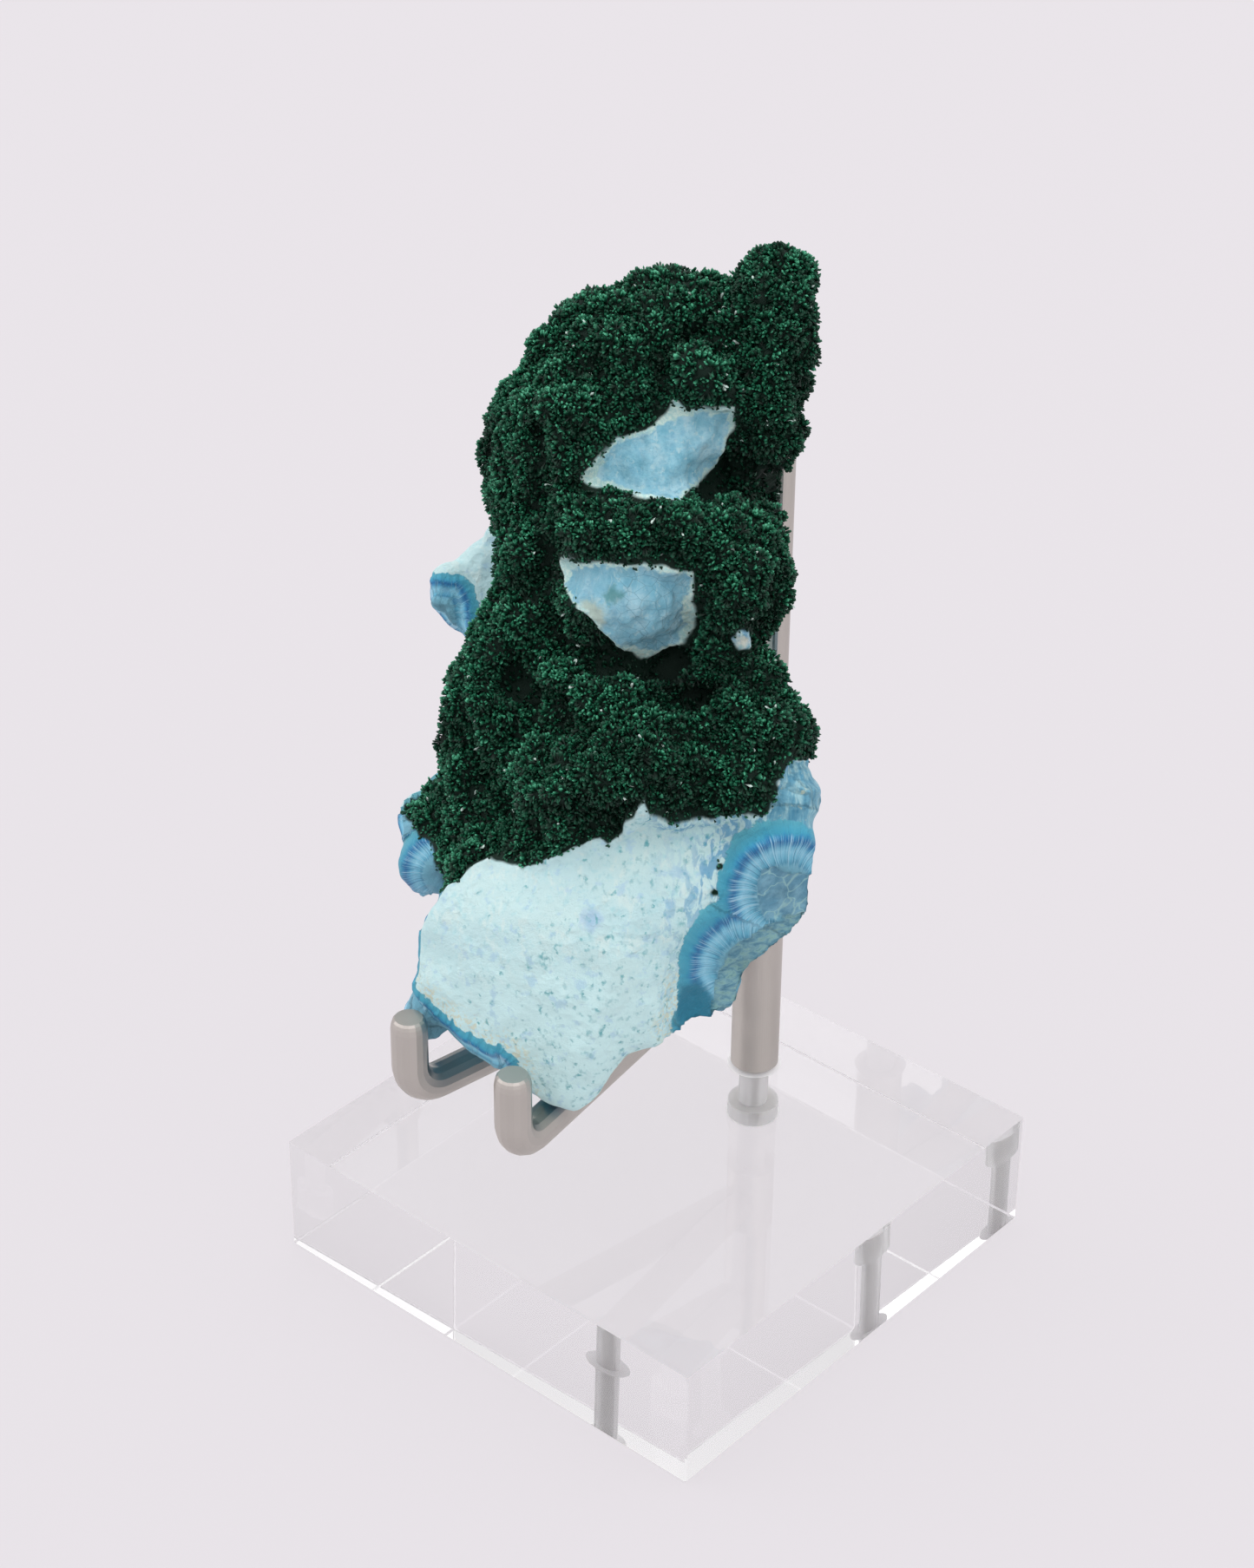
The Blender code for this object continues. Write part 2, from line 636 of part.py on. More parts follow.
def thinned_mesh(mesh):
    """The stone with few enough faces."""
    dense = add_object("stone_dense", mesh)
    thin = dense.modifiers.new("thin", 'DECIMATE')
    faces = sum(len(polygon.vertices) - 2 for polygon in mesh.polygons)
    thin.ratio = STONE_FACES / faces
    final = evaluated_mesh(dense)
    bpy.data.objects.remove(dense, do_unlink=True)
    return final


def make_stone():
    """The stone, fused from its lumps and its slab into one body."""
    stone = principled("malachite_and_shattuckite", STONE_COLOR, 0.6)
    bm = bmesh.new()
    for _, centre, half_sizes, turn in LUMPS:
        add_lump(bm, centre, half_sizes, turn)
    add_back_plate(bm)
    add_slab(bm)
    bmesh.ops.recalc_face_normals(bm, faces=bm.faces)
    rough = bpy.data.meshes.new("stone_rough")
    bm.to_mesh(rough)
    bm.free()
    mesh = softened_mesh(fused_mesh(rough), STONE_SOFTENING, MALACHITE_SOFTENING)
    dress_stone(mesh)
    mesh = softened_mesh(mesh, 0, DRESSED_SOFTENING)
    break_end(mesh)
    mesh.transform(stone_matrix())
    seat_stone(mesh, STONE_CLEARANCE)
    final = thinned_mesh(mesh)
    seat_stone(final, STONE_CLEARANCE)
    shade(final, 60.0)
    add_object("specimen", final, stone)


def main():
    clear_scene()
    steel = principled("stainless_steel", STEEL_COLOR, 0.25, metallic=1.0)
    make_block()
    make_screw(steel)
    make_post(steel)
    make_rod(steel)
    make_arms(steel)
    make_stone()


main()
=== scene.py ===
"""Looks of a malachite and shattuckite specimen on a clear block stand.

The stone's body is a finer copy of its solid. Its malachite ground is sunk
under a carpet of small crystals whose tips reach the solid's surface. The pale
skin, the two bare windows and the banded breaks are painted by how far a place
lies inside their outlines.

Outlines and places on the stone are in its own axes, in mm: across its face,
along it and out of it, as the stone stands turned and leaning on its stand.
"""

from math import cos, pi, radians, sin

import bpy
import numpy as np
from mathutils import Matrix, Vector, kdtree, noise


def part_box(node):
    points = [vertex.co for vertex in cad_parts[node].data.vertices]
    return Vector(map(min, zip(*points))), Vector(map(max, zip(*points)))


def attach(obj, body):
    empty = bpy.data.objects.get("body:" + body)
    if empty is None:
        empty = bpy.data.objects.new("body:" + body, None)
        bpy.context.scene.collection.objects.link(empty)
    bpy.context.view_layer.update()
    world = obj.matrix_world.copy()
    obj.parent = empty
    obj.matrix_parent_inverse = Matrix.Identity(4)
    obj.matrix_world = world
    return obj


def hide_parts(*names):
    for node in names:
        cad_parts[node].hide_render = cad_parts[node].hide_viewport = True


MM = 0.001

# Camera, as solved from the photograph
CAMERA_PLACE = (0.27295, -0.32207, 0.34538)
CAMERA_TURN = radians(41.004)
CAMERA_TILT = radians(31.943)
CAMERA_ROLL = radians(0.565)
CAMERA_LENS_PX = 3988.08
CAMERA_CLIP_START = 0.01
PHOTO_LONG_SIDE_PX = 1807
SENSOR = 36.0

# Floor, 60 m wide and a hair under the block, and the light round it. Heights go
# from 0 at the horizon to 1 overhead. A lamp is a way, the cosines at its edge and
# its middle, and its strength. It fades out downwards between the lamp heights.
FLOOR_HALF = 30.0
FLOOR_GAP = 0.1 * MM
FLOOR_COLOR = (0.09, 0.086, 0.09, 1.0)
FLOOR_GLOW = (1.0, 0.955, 1.0, 1.0)
FLOOR_GLOW_STRENGTH = 0.68
LIGHT_COLOR = (1.0, 0.985, 1.0, 1.0)
SIDE_LIGHT = 0.84
TOP_LIGHT = 2.1
TOP_LIGHT_FROM = 0.62
LAMP_HEIGHTS = (0.30, 0.56)
LAMPS = [
    ((-0.74, -0.42, 0.53), 0.82, 0.97, 1.4),
    ((0.52, 0.54, 0.66), 0.92, 0.99, 0.25),
    ((0.90, -0.02, 0.43), 0.85, 0.97, 0.7),
]

# Clear acrylic. Its drilled hole is rough, lets less light through and ends between
# two distances from its axis. Its bevels are found by how little they face any one
# axis. From inside they are rough; from outside the face with more weight wins.
ACRYLIC_IOR = 1.49
HOLE_ROUGHNESS = 0.5
HOLE_TRANSMISSION = 0.5
HOLE_REACH = (4.2 * MM, 4.3 * MM)
BEVEL_ROUGHNESS = 1.0
BEVEL_FACING = (0.80, 0.95)
FACE_WEIGHTS = (1.0, 10.0, 100.0)

# Steel and the pits in it
STEEL_COLOR = (0.54, 0.505, 0.47, 1.0)
STEEL_ROUGHNESS = (0.34, 0.42)
STEEL_ANISOTROPY = 0.9
PIT_COLOR = (0.16, 0.15, 0.14, 1.0)

# How the stone stands
STONE_SEAT = np.array((0.0, -20.0 * MM, 50.0 * MM))
STONE_TURN = radians(41.0)
STONE_LEAN = radians(32.0)

# The stone's body. A region has its full height a blend inside its edge. Skin and
# bands are worked out to a margin past theirs.
BODY_VOXEL = 0.55 * MM
BODY_SMOOTHING = 14
REGION_BLEND = 0.8
EDGE_MARGIN = 1.0
FAR = 40.0

# How much a surface faces the front, from 1 to -1, where the malachite and the skin
# end, and how many mm one of it counts for. The head's malachite and the low side's
# skin go further round. The back begins where a surface faces back by its value.
MALACHITE_LEAST_FACING = -0.50
HEAD_LEAST_FACING = -0.95
HEAD_FROM = (20.0, 62.0)
HEAD_BLEND = 8.0
SIDE_FACING = 0.18
LOW_SIDE_FACING = SIDE_FACING - 0.3
LOW_SIDE_LEAST_ACROSS = -8.0
LOW_SIDE_MOST_ALONG = 12.0
BEHIND_FROM = 0.3
BEHIND_BLEND = 0.25
FACING_REACH = 7.0
# Noise in these limits: its size, and its height in the malachite's
DRIFT_SIZE = 9.0
MALACHITE_DRIFT = 2.0

# The malachite's ground: how deep it is sunk, its lumps' sizes, how high their tops
# are and how much they fall away, in mm
MALACHITE_DEPTH = 0.8
LUMP_SIZE = 5.2
SMALL_LUMP_SIZE = 2.5
LUMP_TOP = 0.9
LUMP_FALL = 3.2
SMALL_LUMP_FALL = 1.1

# Nodules of the stone's back: size, height and bend in mm, and the noise value
# under which one stays whole
NODULE_SIZE = 9.0
NODULE_HEIGHT = 1.1
NODULE_BEND = 2.6
NODULE_WHOLE_UNDER = 0.16

# Broken right end of the slab, flat where it was cut from the rounded form
BREAK_POINT = np.array((21.0, 15.0, 28.0))
BREAK_FACING = np.array((0.45, -0.58, 0.68))
BREAK_LEAST_ACROSS = 13.5
BREAK_MOST_ALONG = 31.0
BREAK_LEAST_BEYOND = -0.4

# Outline of the malachite: its lower edge from left to right, then round the top
MALACHITE = [
    (-60.0, 33.0), (-25.4, 30.6), (-23.1, 28.5), (-20.7, 26.2), (-19.8, 23.2),
    (-18.0, 19.6), (-15.4, 21.9), (-13.2, 24.0), (-11.3, 24.7), (-9.2, 24.1),
    (-6.6, 23.3), (-3.1, 24.6), (0.5, 26.4), (4.0, 27.8), (5.2, 26.8),
    (7.0, 27.7), (7.8, 29.8), (9.1, 31.0), (10.1, 32.4), (10.7, 30.8),
    (13.4, 29.6), (17.0, 30.1), (20.5, 30.6), (24.3, 31.1), (26.8, 30.7),
    (27.8, 32.9), (28.5, 35.3), (29.3, 36.8), (29.9, 38.5), (60.0, 39.5), (60.0, 140.0), (-60.0, 140.0),
]
# Specks of malachite on the skin, and a raised patch over the upper window
SPECKS = [(19.8, 20.6, 32.1), (20.4, 24.2, 32.5)]
SPECK_SIZE = 0.7
# A bare spot in the malachite at the right: place and reach
BARE_SPOT = ((23.4, 54.8), 0.9)
PATCH = [
    (13.4, 89.9), (13.5, 91.6), (14.6, 93.7), (16.3, 95.7), (17.8, 96.4), (18.7, 95.7), (18.4, 93.7),
    (20.8, 92.1), (22.3, 90.4), (23.0, 88.4), (21.9, 86.7), (18.8, 86.9), (15.8, 87.8), (14.0, 88.2),
]
PATCH_HEIGHT = 1.8
PATCH_BLEND = 1.4
PATCH_LEAST_OUT = 18.0

# The two bare windows
UPPER_WINDOW = [
    (1.2, 76.7), (3.5, 79.1), (6.1, 82.3), (10.0, 83.3), (12.7, 85.5), (13.5, 87.4),
    (15.3, 86.4), (18.8, 86.5), (21.9, 86.9), (21.5, 84.5), (20.8, 82.8), (20.7, 81.0),
    (19.0, 78.7), (16.6, 76.2), (14.1, 73.8), (10.0, 74.0), (6.5, 75.7), (3.6, 75.7),
]
LOWER_WINDOW = [
    (-1.5, 65.7), (1.3, 65.1), (4.9, 64.7), (7.4, 64.4), (10.1, 64.6), (13.1, 64.2),
    (16.3, 63.7), (16.3, 60.5), (16.6, 57.0), (14.5, 54.8), (12.1, 53.4), (9.1, 53.0),
    (6.1, 54.0), (3.8, 56.3), (0.8, 59.1), (-1.1, 62.3),
]
WINDOW_LEAST_OUT = 22.0
WINDOW_LEAST_FACING = -0.4
# From the lower window to the upper one along the stone, and where the crackle
# starts across it
BETWEEN_WINDOWS = (66.0, 68.0)
CRACKLE_ACROSS = (5.0, 8.0)
# Where the windows' pale rims are wider: place, reach and how much, in mm
WIDE_RIMS = [
    ((1.8, 76.8), 4.0, 1.6), ((13.6, 86.8), 3.4, 1.8), ((21.5, 86.0), 2.0, 0.6),
    ((15.8, 58.5), 4.0, 1.3), ((10.0, 53.6), 4.0, 0.8), ((-1.0, 65.0), 2.6, 1.0),
]
# Spots of other colours: place and reach
TEAL_SPOT = ((5.6, 60.7), 1.3)
CREAM_SPOT = ((2.6, 58.0), 1.9)
LAVENDER_SPOT = ((3.2, 16.8), 1.5)
# From where to where the skin is painted paler at the foot, as painted light on its
# down-facing low part, has cream flecks at its low edge, and has blue streaks beside
# the right break
PAINTED_LIGHT_FOOT_ALONG = (3.0, 17.0)
FLECKS_ALONG = (7.0, 12.0)
STREAKS_ACROSS = (9.0, 14.0)
STREAKS_ALONG = (10.0, 24.0)
STREAKS_OUT = (8.0, 14.0)

# Broken faces seen from the front: the right end, its grey core, its rind and
# the plate above it
BREAK = [
    (14.0, 2.0), (15.0, 4.3), (15.1, 10.6), (16.0, 15.0), (18.0, 18.2), (20.4, 19.8),
    (20.1, 22.5), (21.1, 25.5), (22.4, 28.4), (25.6, 30.3), (26.8, 30.7), (28.5, 35.3),
    (29.9, 38.5), (60.0, 39.5), (60.0, -20.0), (23.0, -20.0),
]
CORE = [
    (25.8, 20.5), (25.9, 22.2), (26.5, 23.5), (28.1, 24.1), (29.6, 23.3), (31.5, 23.1),
    (36.0, 22.8), (36.0, 17.6), (30.6, 17.0), (27.5, 16.5), (26.7, 17.6), (26.1, 18.9),
]
RIND = [
    (20.4, 6.4), (20.9, 9.3), (22.4, 12.6), (23.4, 13.6), (25.4, 14.2), (27.2, 15.7),
    (30.6, 17.0), (36.0, 17.6), (36.0, 12.0), (24.0, -2.0), (20.0, 2.0),
]
PLATE = [
    (25.8, 30.3), (28.3, 30.6), (31.3, 30.4), (33.1, 29.4), (60.0, 28.6), (60.0, 39.5),
    (29.9, 38.5), (28.5, 35.3), (26.8, 30.8),
]
# A hollow at the right break, sunk and painted darker teal, partly as painted shade
NOTCH = [
    (15.6, 7.6), (17.7, 8.2), (19.6, 6.6), (20.6, 4.4), (20.2, 2.0), (15.0, 1.0), (14.6, 4.4),
]
NOTCH_BLEND = 2.0
NOTCH_LEAST_OUT = 10.0
CORE_DEPTH = 0.5
RIND_DEPTH = 0.9
# Further back than this the stone counts as broken, and core, rind and plate end
# near the second limit
FRONT_LEAST_OUT = 12.0
CORE_LEAST_OUT = 13.0
CORE_DRIFT = 3.0
EDGE_BAND = [
    (-20.8, 5.3), (-18.6, 3.4), (-15.9, 1.3), (-12.0, -0.8), (-9.0, -1.9), (-7.2, -3.4),
    (-6.0, -8.0), (-30.0, -8.0), (-30.0, 6.4), (-21.6, 5.8),
]
EDGE_BAND_MOST_OUT = 40.0
BACK_PIECE = [(-30.0, 50.0), (-11.0, 50.0), (-9.0, 60.0), (-9.0, 76.0), (-30.0, 76.0)]
BACK_PIECE_MOST_OUT = 0.3
BACK_PIECE_SKIN = [
    (-23.0, 66.1), (-19.0, 65.7), (-16.5, 65.5), (-14.9, 64.1), (-14.2, 62.0), (-13.9, 58.0),
    (-5.0, 58.0), (-5.0, 76.0), (-23.0, 76.0),
]

# A lump behind the left edge that is broken all over
LEFT_LUMP_MOST_ACROSS = -17.5
LEFT_LUMP_LEAST_ALONG = 15.0
LEFT_LUMP_MOST_OUT = 5.0
# What counts as inside and outside a break that has no outline, in mm
WELL_INSIDE = 3.0
WELL_OUTSIDE = -2.0

# Regions that the shader of the stone reads
SHADER_REGIONS = (
    "malachite", "crystals", "window", "window_rim", "broken", "core", "rind", "plate", "notch",
)

# Centres and radii of the banded growths that the breaks cut through
RINGS = [
    ((29.7, 20.4), 7.7),
    ((24.9, 9.9), 7.9),
    ((-18.6, 22.0), 5.6),
]
# Rays of a growth spread over a circle of this radius. A growth's bands end at
# this many of its radii, and lie to the right or the left of these limits.
RAYS_ROUND = 7.0
RING_REACH = 1.6
LEFT_RING_REACH = 1.4
RIGHT_RINGS_LEAST_ACROSS = 10.0
LEFT_RING_MOST_ACROSS = -10.0
# Elsewhere the bands follow the skin: their value at its edge, and their width
SKIN_EDGE_RING = 1.35
SIDE_BAND = 4.5

# Dark grooves between the lumps of malachite: start, end, reach and depth in mm. The
# crystals in them are also painted darker, as painted shade.
GROOVES = [
    ((19.5, 77.6), (28.0, 77.0), 4.6, 2.6),
    ((4.9, 52.2), (13.4, 51.6), 3.2, 1.6),
    ((13.6, 46.8), (16.8, 46.5), 2.6, 1.5),
    ((-8.0, 50.0), (-1.8, 44.8), 2.6, 1.6),
    ((-2.4, 44.0), (-5.0, 36.0), 2.4, 1.5),
    ((-16.5, 41.5), (-13.5, 35.5), 4.0, 2.0),
    ((-10.4, 89.0), (-13.4, 79.0), 2.0, 1.4),
    ((-5.0, 83.0), (-3.4, 67.0), 2.4, 1.6),
    ((12.1, 88.4), (12.8, 94.2), 1.7, 1.2),
    ((12.8, 94.2), (17.0, 98.4), 1.7, 1.2),
]

# Swells and hollows of the malachite's outline: place, reach and height in mm
SWELLS = [
    ((15.4, 106.6), 5.0, 1.6), ((3.1, 106.6), 5.5, -2.0), ((-7.4, 96.6), 4.0, 1.4),
    ((33.8, 91.4), 3.6, 1.2), ((28.0, 79.3), 4.0, 1.2), ((-15.0, 68.2), 4.5, -2.0),
    ((32.8, 48.2), 5.0, -1.6), ((34.3, 43.0), 4.0, 1.2), ((-23.1, 33.4), 3.5, -1.6),
    ((-17.6, 54.0), 4.5, -1.6), ((32.9, 86.5), 3.5, -1.0), ((-19.1, 42.6), 5.0, 1.4),
]

# Crystals of the malachite, in mm. They stand so far inside its edge, each moved a
# little from its site.
SEED = 11
CRYSTALS_PER_SITE = 1.6
CRYSTAL_MARGIN = 0.2
SITE_SPREAD = 0.6 * BODY_VOXEL
CRYSTAL_LENGTH = 1.3
CRYSTAL_WIDTH = 0.25
CRYSTAL_THICKNESS = 0.16
LENGTH_RANGE = (0.5, 1.8)
LENGTH_NOISE = 0.07
WIDTH_RANGE = (0.7, 1.35)
THICKNESS_RANGE = (0.8, 1.3)
FOOT_DEPTH = 0.3
# Near the malachite's edge they are shorter, down to the least share
EDGE_REACH = 1.2
EDGE_LEAST = 0.5
# Tufts: size in mm, how far their crystals lean out, how much their feet draw
# together, and how long they are in the middle and how much less at the rim
TUFT_SIZE = 1.25
TUFT_LEAN = 1.1
LEAN_NOISE = 0.17
TUFT_GATHER = 0.45
TUFT_RISE = 1.2
TUFT_FALL = 0.8
# A crystal's corners, as shares of its length, width and thickness, how light each
# corner is, and its faces. Each foot is painted darker as shade among the crystals,
# and the tips are lighter partly in their own paler green.
CRYSTAL_CORNERS = [
    (0.0, 0.0, 0.0),
    (0.78, 1.0, 0.0), (0.82, 0.0, 1.0), (0.78, -1.0, 0.0), (0.82, 0.0, -1.0),
    (1.0, 0.6, 0.0), (1.0, -0.6, 0.0),
]
CORNER_TONE_AND_SHADE = np.array((0.0, 0.75, 0.75, 0.75, 0.75, 1.0, 1.0))
CRYSTAL_FACES = np.array([
    (0, 2, 1), (0, 3, 2), (0, 4, 3), (0, 1, 4),
    (1, 2, 5), (2, 3, 6), (3, 4, 6), (4, 1, 5), (2, 6, 5), (4, 5, 6),
])
# Painted light: how much lighter the crystals are on the raised patch and, from a place
# across the stone on, to its left, where the light falls. Of the draws from 0 to 1,
# those above the last value are painted pale as glints, a painted highlight.
PATCH_PAINTED_LIGHT = 0.14
LEFT_PAINTED_LIGHT = 0.14
LEFT_FROM = 4.0
LEFT_BLEND = 12.0
GLINT_ABOVE = 0.9965
# Pieces of the carpet: name, and from where to where along the stone
CRYSTAL_BANDS = [
    ("foot", -FAR, 34.0), ("low_lumps", 34.0, 45.0), ("high_lumps", 45.0, 62.0),
    ("waist", 62.0, 84.0), ("head", 84.0, 4 * FAR),
]


def stone_axes():
    """Rows: across the stone's face, along it and out of it."""
    across = np.array((cos(STONE_TURN), sin(STONE_TURN), 0.0))
    level = np.array((sin(STONE_TURN), -cos(STONE_TURN), 0.0))
    out = level * cos(STONE_LEAN) + np.array((0.0, 0.0, sin(STONE_LEAN)))
    return np.array((across, np.cross(out, across), out))


AXES = stone_axes()


def to_stone(points):
    """Frame points in metres as places on the stone in mm."""
    return (points - STONE_SEAT) @ AXES.T / MM


def to_frame(places):
    """Places on the stone in mm as frame points in metres."""
    return places * MM @ AXES + STONE_SEAT


def paint(red, green, blue):
    """A colour as seen on a screen, from 0 to 255, as a shader colour."""
    shares = [value / 255 for value in (red, green, blue)]
    linear = [s / 12.92 if s <= 0.04045 else ((s + 0.055) / 1.055) ** 2.4 for s in shares]
    return (*linear, 1.0)


class Graph:
    """A node tree, with short calls that add nodes to it and return their outputs."""

    def __init__(self, tree):
        self.tree = tree

    def node(self, kind, inputs, **settings):
        node = self.tree.nodes.new(kind)
        for name, value in settings.items():
            setattr(node, name, value)
        for name, value in inputs.items():
            self.feed(node.inputs[name], value)
        return node

    def feed(self, socket, value):
        """Link an output to a socket, or set the socket to a plain value."""
        if isinstance(value, bpy.types.NodeSocket):
            self.tree.links.new(value, socket)
        else:
            socket.default_value = value

    def shade(self, **inputs):
        """Feed the surface shader; underscores stand for spaces."""
        surface = self.tree.nodes["Principled BSDF"]
        for name, value in inputs.items():
            self.feed(surface.inputs[name.replace("_", " ")], value)

    def number(self, name):
        return self.node("ShaderNodeAttribute", {}, attribute_name=name).outputs["Fac"]

    def place(self, name):
        return self.node("ShaderNodeAttribute", {}, attribute_name=name).outputs["Vector"]

    def object_place(self):
        return self.node("ShaderNodeTexCoord", {}).outputs["Object"]

    def stretched(self, place, scale):
        inputs = {"Vector": place, "Scale": scale}
        return self.node("ShaderNodeMapping", inputs).outputs["Vector"]

    def axes(self, vector):
        return self.node("ShaderNodeSeparateXYZ", {0: vector}).outputs

    def vector_math(self, operation, *inputs, output="Vector"):
        node = self.node("ShaderNodeVectorMath", dict(enumerate(inputs)), operation=operation)
        return node.outputs[output]

    def noise(self, place, scale, detail=2.0, rough=0.5, warp=0.0):
        inputs = {"Vector": place, "Scale": scale, "Detail": detail, "Roughness": rough, "Distortion": warp}
        return self.node("ShaderNodeTexNoise", inputs).outputs["Fac"]

    def cells(self, place, scale, feature='F1'):
        inputs = {"Vector": place, "Scale": scale}
        return self.node("ShaderNodeTexVoronoi", inputs, feature=feature)

    def math(self, operation, a, b=0.0):
        node = self.tree.nodes.new("ShaderNodeMath")
        node.operation = operation
        self.feed(node.inputs[0], a)
        self.feed(node.inputs[1], b)
        return node.outputs[0]

    def step(self, value, low, high, start=0.0, end=1.0):
        """Smooth rise from start to end while the value goes from low to high."""
        inputs = {"Value": value, "From Min": low, "From Max": high, "To Min": start, "To Max": end}
        return self.node("ShaderNodeMapRange", inputs, interpolation_type='SMOOTHSTEP').outputs["Result"]

    def mix(self, share, first, second):
        node = self.tree.nodes.new("ShaderNodeMix")
        node.data_type = 'RGBA'
        self.feed(node.inputs[0], share)
        self.feed(node.inputs[6], first)
        self.feed(node.inputs[7], second)
        return node.outputs[2]

    def ramp(self, value, stops):
        node = self.tree.nodes.new("ShaderNodeValToRGB")
        elements = node.color_ramp.elements
        elements[0].position, elements[0].color = stops[0]
        elements[1].position, elements[1].color = stops[-1]
        for position, color in stops[1:-1]:
            elements.new(position).color = color
        self.feed(node.inputs[0], value)
        return node.outputs["Color"]

    def bump(self, height, distance, strength=1.0, below=None):
        inputs = {"Height": height, "Distance": distance, "Strength": strength}
        if below is not None:
            inputs["Normal"] = below
        return self.node("ShaderNodeBump", inputs).outputs["Normal"]


def new_material(name):
    """A material with nodes, and the graph to build it with."""
    material = bpy.data.materials.new(name)
    material.use_nodes = True
    return material, Graph(material.node_tree)


def add_object(name, mesh, material):
    """Link a mesh into the scene under a name, with a material."""
    obj = bpy.data.objects.new(name, mesh)
    bpy.context.scene.collection.objects.link(obj)
    mesh.materials.clear()
    mesh.materials.append(material)
    return obj


def points_of(mesh):
    values = np.empty(len(mesh.vertices) * 3)
    mesh.vertices.foreach_get("co", values)
    return values.reshape(-1, 3)


def normals_of(mesh):
    values = np.empty(len(mesh.vertices) * 3)
    mesh.vertex_normals.foreach_get("vector", values)
    return values.reshape(-1, 3)


def edges_of(mesh):
    values = np.empty(len(mesh.edges) * 2, int)
    mesh.edges.foreach_get("vertices", values)
    return values.reshape(-1, 2)


def move_points(mesh, points):
    mesh.vertices.foreach_set("co", points.ravel())
    mesh.update()


def store(mesh, name, values):
    """Keep one number or one place per vertex for the shaders."""
    if values.ndim == 1:
        mesh.attributes.new(name, 'FLOAT', 'POINT').data.foreach_set("value", values)
    else:
        mesh.attributes.new(name, 'FLOAT_VECTOR', 'POINT').data.foreach_set("vector", values.ravel())


def relaxed(points, edges, rounds):
    """Smooth points over their mesh without shrinking it."""
    first, second = edges.T
    count = np.bincount(edges.ravel(), minlength=len(points))[:, None]
    for step in range(rounds * 2):
        total = np.zeros_like(points)
        for axis in range(3):
            total[:, axis] += np.bincount(first, points[second, axis], len(points))
            total[:, axis] += np.bincount(second, points[first, axis], len(points))
        share = 0.6 if step % 2 == 0 else -0.62
        points = points + share * (total / count - points)
    return points


def sway(places, size, shift=0.0):
    """Smooth noise between about -1 and 1 at each place, for a feature size in mm.

    Another shift gives another noise of the same kind.
    """
    return np.array([noise.noise(Vector(place)) for place in places / size + shift])


def cell_noise(places, size):
    """Distance to the nearest cell centre in cell sizes, and that centre."""
    found = [noise.voronoi(Vector(place)) for place in places / size]
    gaps = np.array([distances[0] for distances, _ in found])
    centres = np.array([points[0] for _, points in found])
    return gaps, centres


def share_inside(distance, blend):
    """0 outside a region, rising to 1 where it is as far inside as the blend, in mm."""
    return np.clip(distance / blend, 0.0, 1.0)


def line_distance(start, end, across, along):
    """Distance in mm to a straight line on the stone's face."""
    run_across, run_along = end[0] - start[0], end[1] - start[1]
    share = (across - start[0]) * run_across + (along - start[1]) * run_along
    share = np.clip(share / (run_across ** 2 + run_along ** 2), 0.0, 1.0)
    return np.hypot(across - start[0] - share * run_across, along - start[1] - share * run_along)


def signed_distance(outline, across, along):
    """Distance in mm to an outline on the stone's face, positive inside it."""
    nearest = np.full(len(across), np.inf)
    inside = np.zeros(len(across), bool)
    for start, end in zip(outline, outline[1:] + outline[:1]):
        nearest = np.minimum(nearest, line_distance(start, end, across, along))
        rise = end[1] - start[1]
        if rise:
            beside = across < start[0] + (along - start[1]) * (end[0] - start[0]) / rise
            inside ^= ((start[1] > along) != (end[1] > along)) & beside
    return np.where(inside, nearest, -nearest)


def groove_share(across, along):
    """Depth of the grooves in mm, and how much each place lies in one."""
    depth = np.zeros(len(across))
    share = np.zeros(len(across))
    for start, end, reach, deepest in GROOVES:
        gap = line_distance(start, end, across, along) / reach
        near = np.clip(1.0 - gap ** 2, 0.0, 1.0)
        depth = np.maximum(depth, deepest * near ** 2)
        share = np.maximum(share, near)
    return depth, share


def swell_height(across, along):
    """Height in mm of the swells at each place."""
    height = np.zeros(len(across))
    for (swell_across, swell_along), reach, most in SWELLS:
        gap = np.hypot(across - swell_across, along - swell_along) / reach
        height += most * np.clip(1.0 - gap ** 2, 0.0, 1.0) ** 2
    return height


def fine_copy():
    """A finer mesh over the stone's solid."""
    guide = bpy.data.objects.new("stone_guide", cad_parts["specimen"].data.copy())
    bpy.context.scene.collection.objects.link(guide)
    weld = guide.modifiers.new("weld", 'WELD')
    weld.merge_threshold = 0.01 * MM
    fine = guide.modifiers.new("fine", 'REMESH')
    fine.mode = 'VOXEL'
    fine.voxel_size = BODY_VOXEL
    depsgraph = bpy.context.evaluated_depsgraph_get()
    mesh = bpy.data.meshes.new_from_object(guide.evaluated_get(depsgraph))
    bpy.data.objects.remove(guide, do_unlink=True)
    return mesh


def flatten_break(places):
    """Press the broken right end flat again after smoothing."""
    facing = BREAK_FACING / np.linalg.norm(BREAK_FACING)
    beyond = (places - BREAK_POINT) @ facing
    near_end = (places[:, 0] > BREAK_LEAST_ACROSS) & (places[:, 1] < BREAK_MOST_ALONG)
    moved = np.where(near_end & (beyond > BREAK_LEAST_BEYOND), beyond, 0.0)
    return places - moved[:, None] * facing


def find_windows(places, facing):
    """How far inside the bare windows every vertex lies, and how much wider their rim is."""
    across, along, out = places.T
    windows = np.maximum(
        signed_distance(UPPER_WINDOW, across, along),
        signed_distance(LOWER_WINDOW, across, along),
    )
    windows = windows + 0.25 * sway(places, 1.5, 6.0) + 0.35 * sway(places, 3.4)
    windows[(facing < WINDOW_LEAST_FACING) | (out < WINDOW_LEAST_OUT)] = -FAR
    rim = np.zeros(len(places))
    for (rim_across, rim_along), reach, width in WIDE_RIMS:
        gap = np.hypot(across - rim_across, along - rim_along) / reach
        rim += width * np.clip(1.0 - gap, 0.0, 1.0)
    return windows, rim


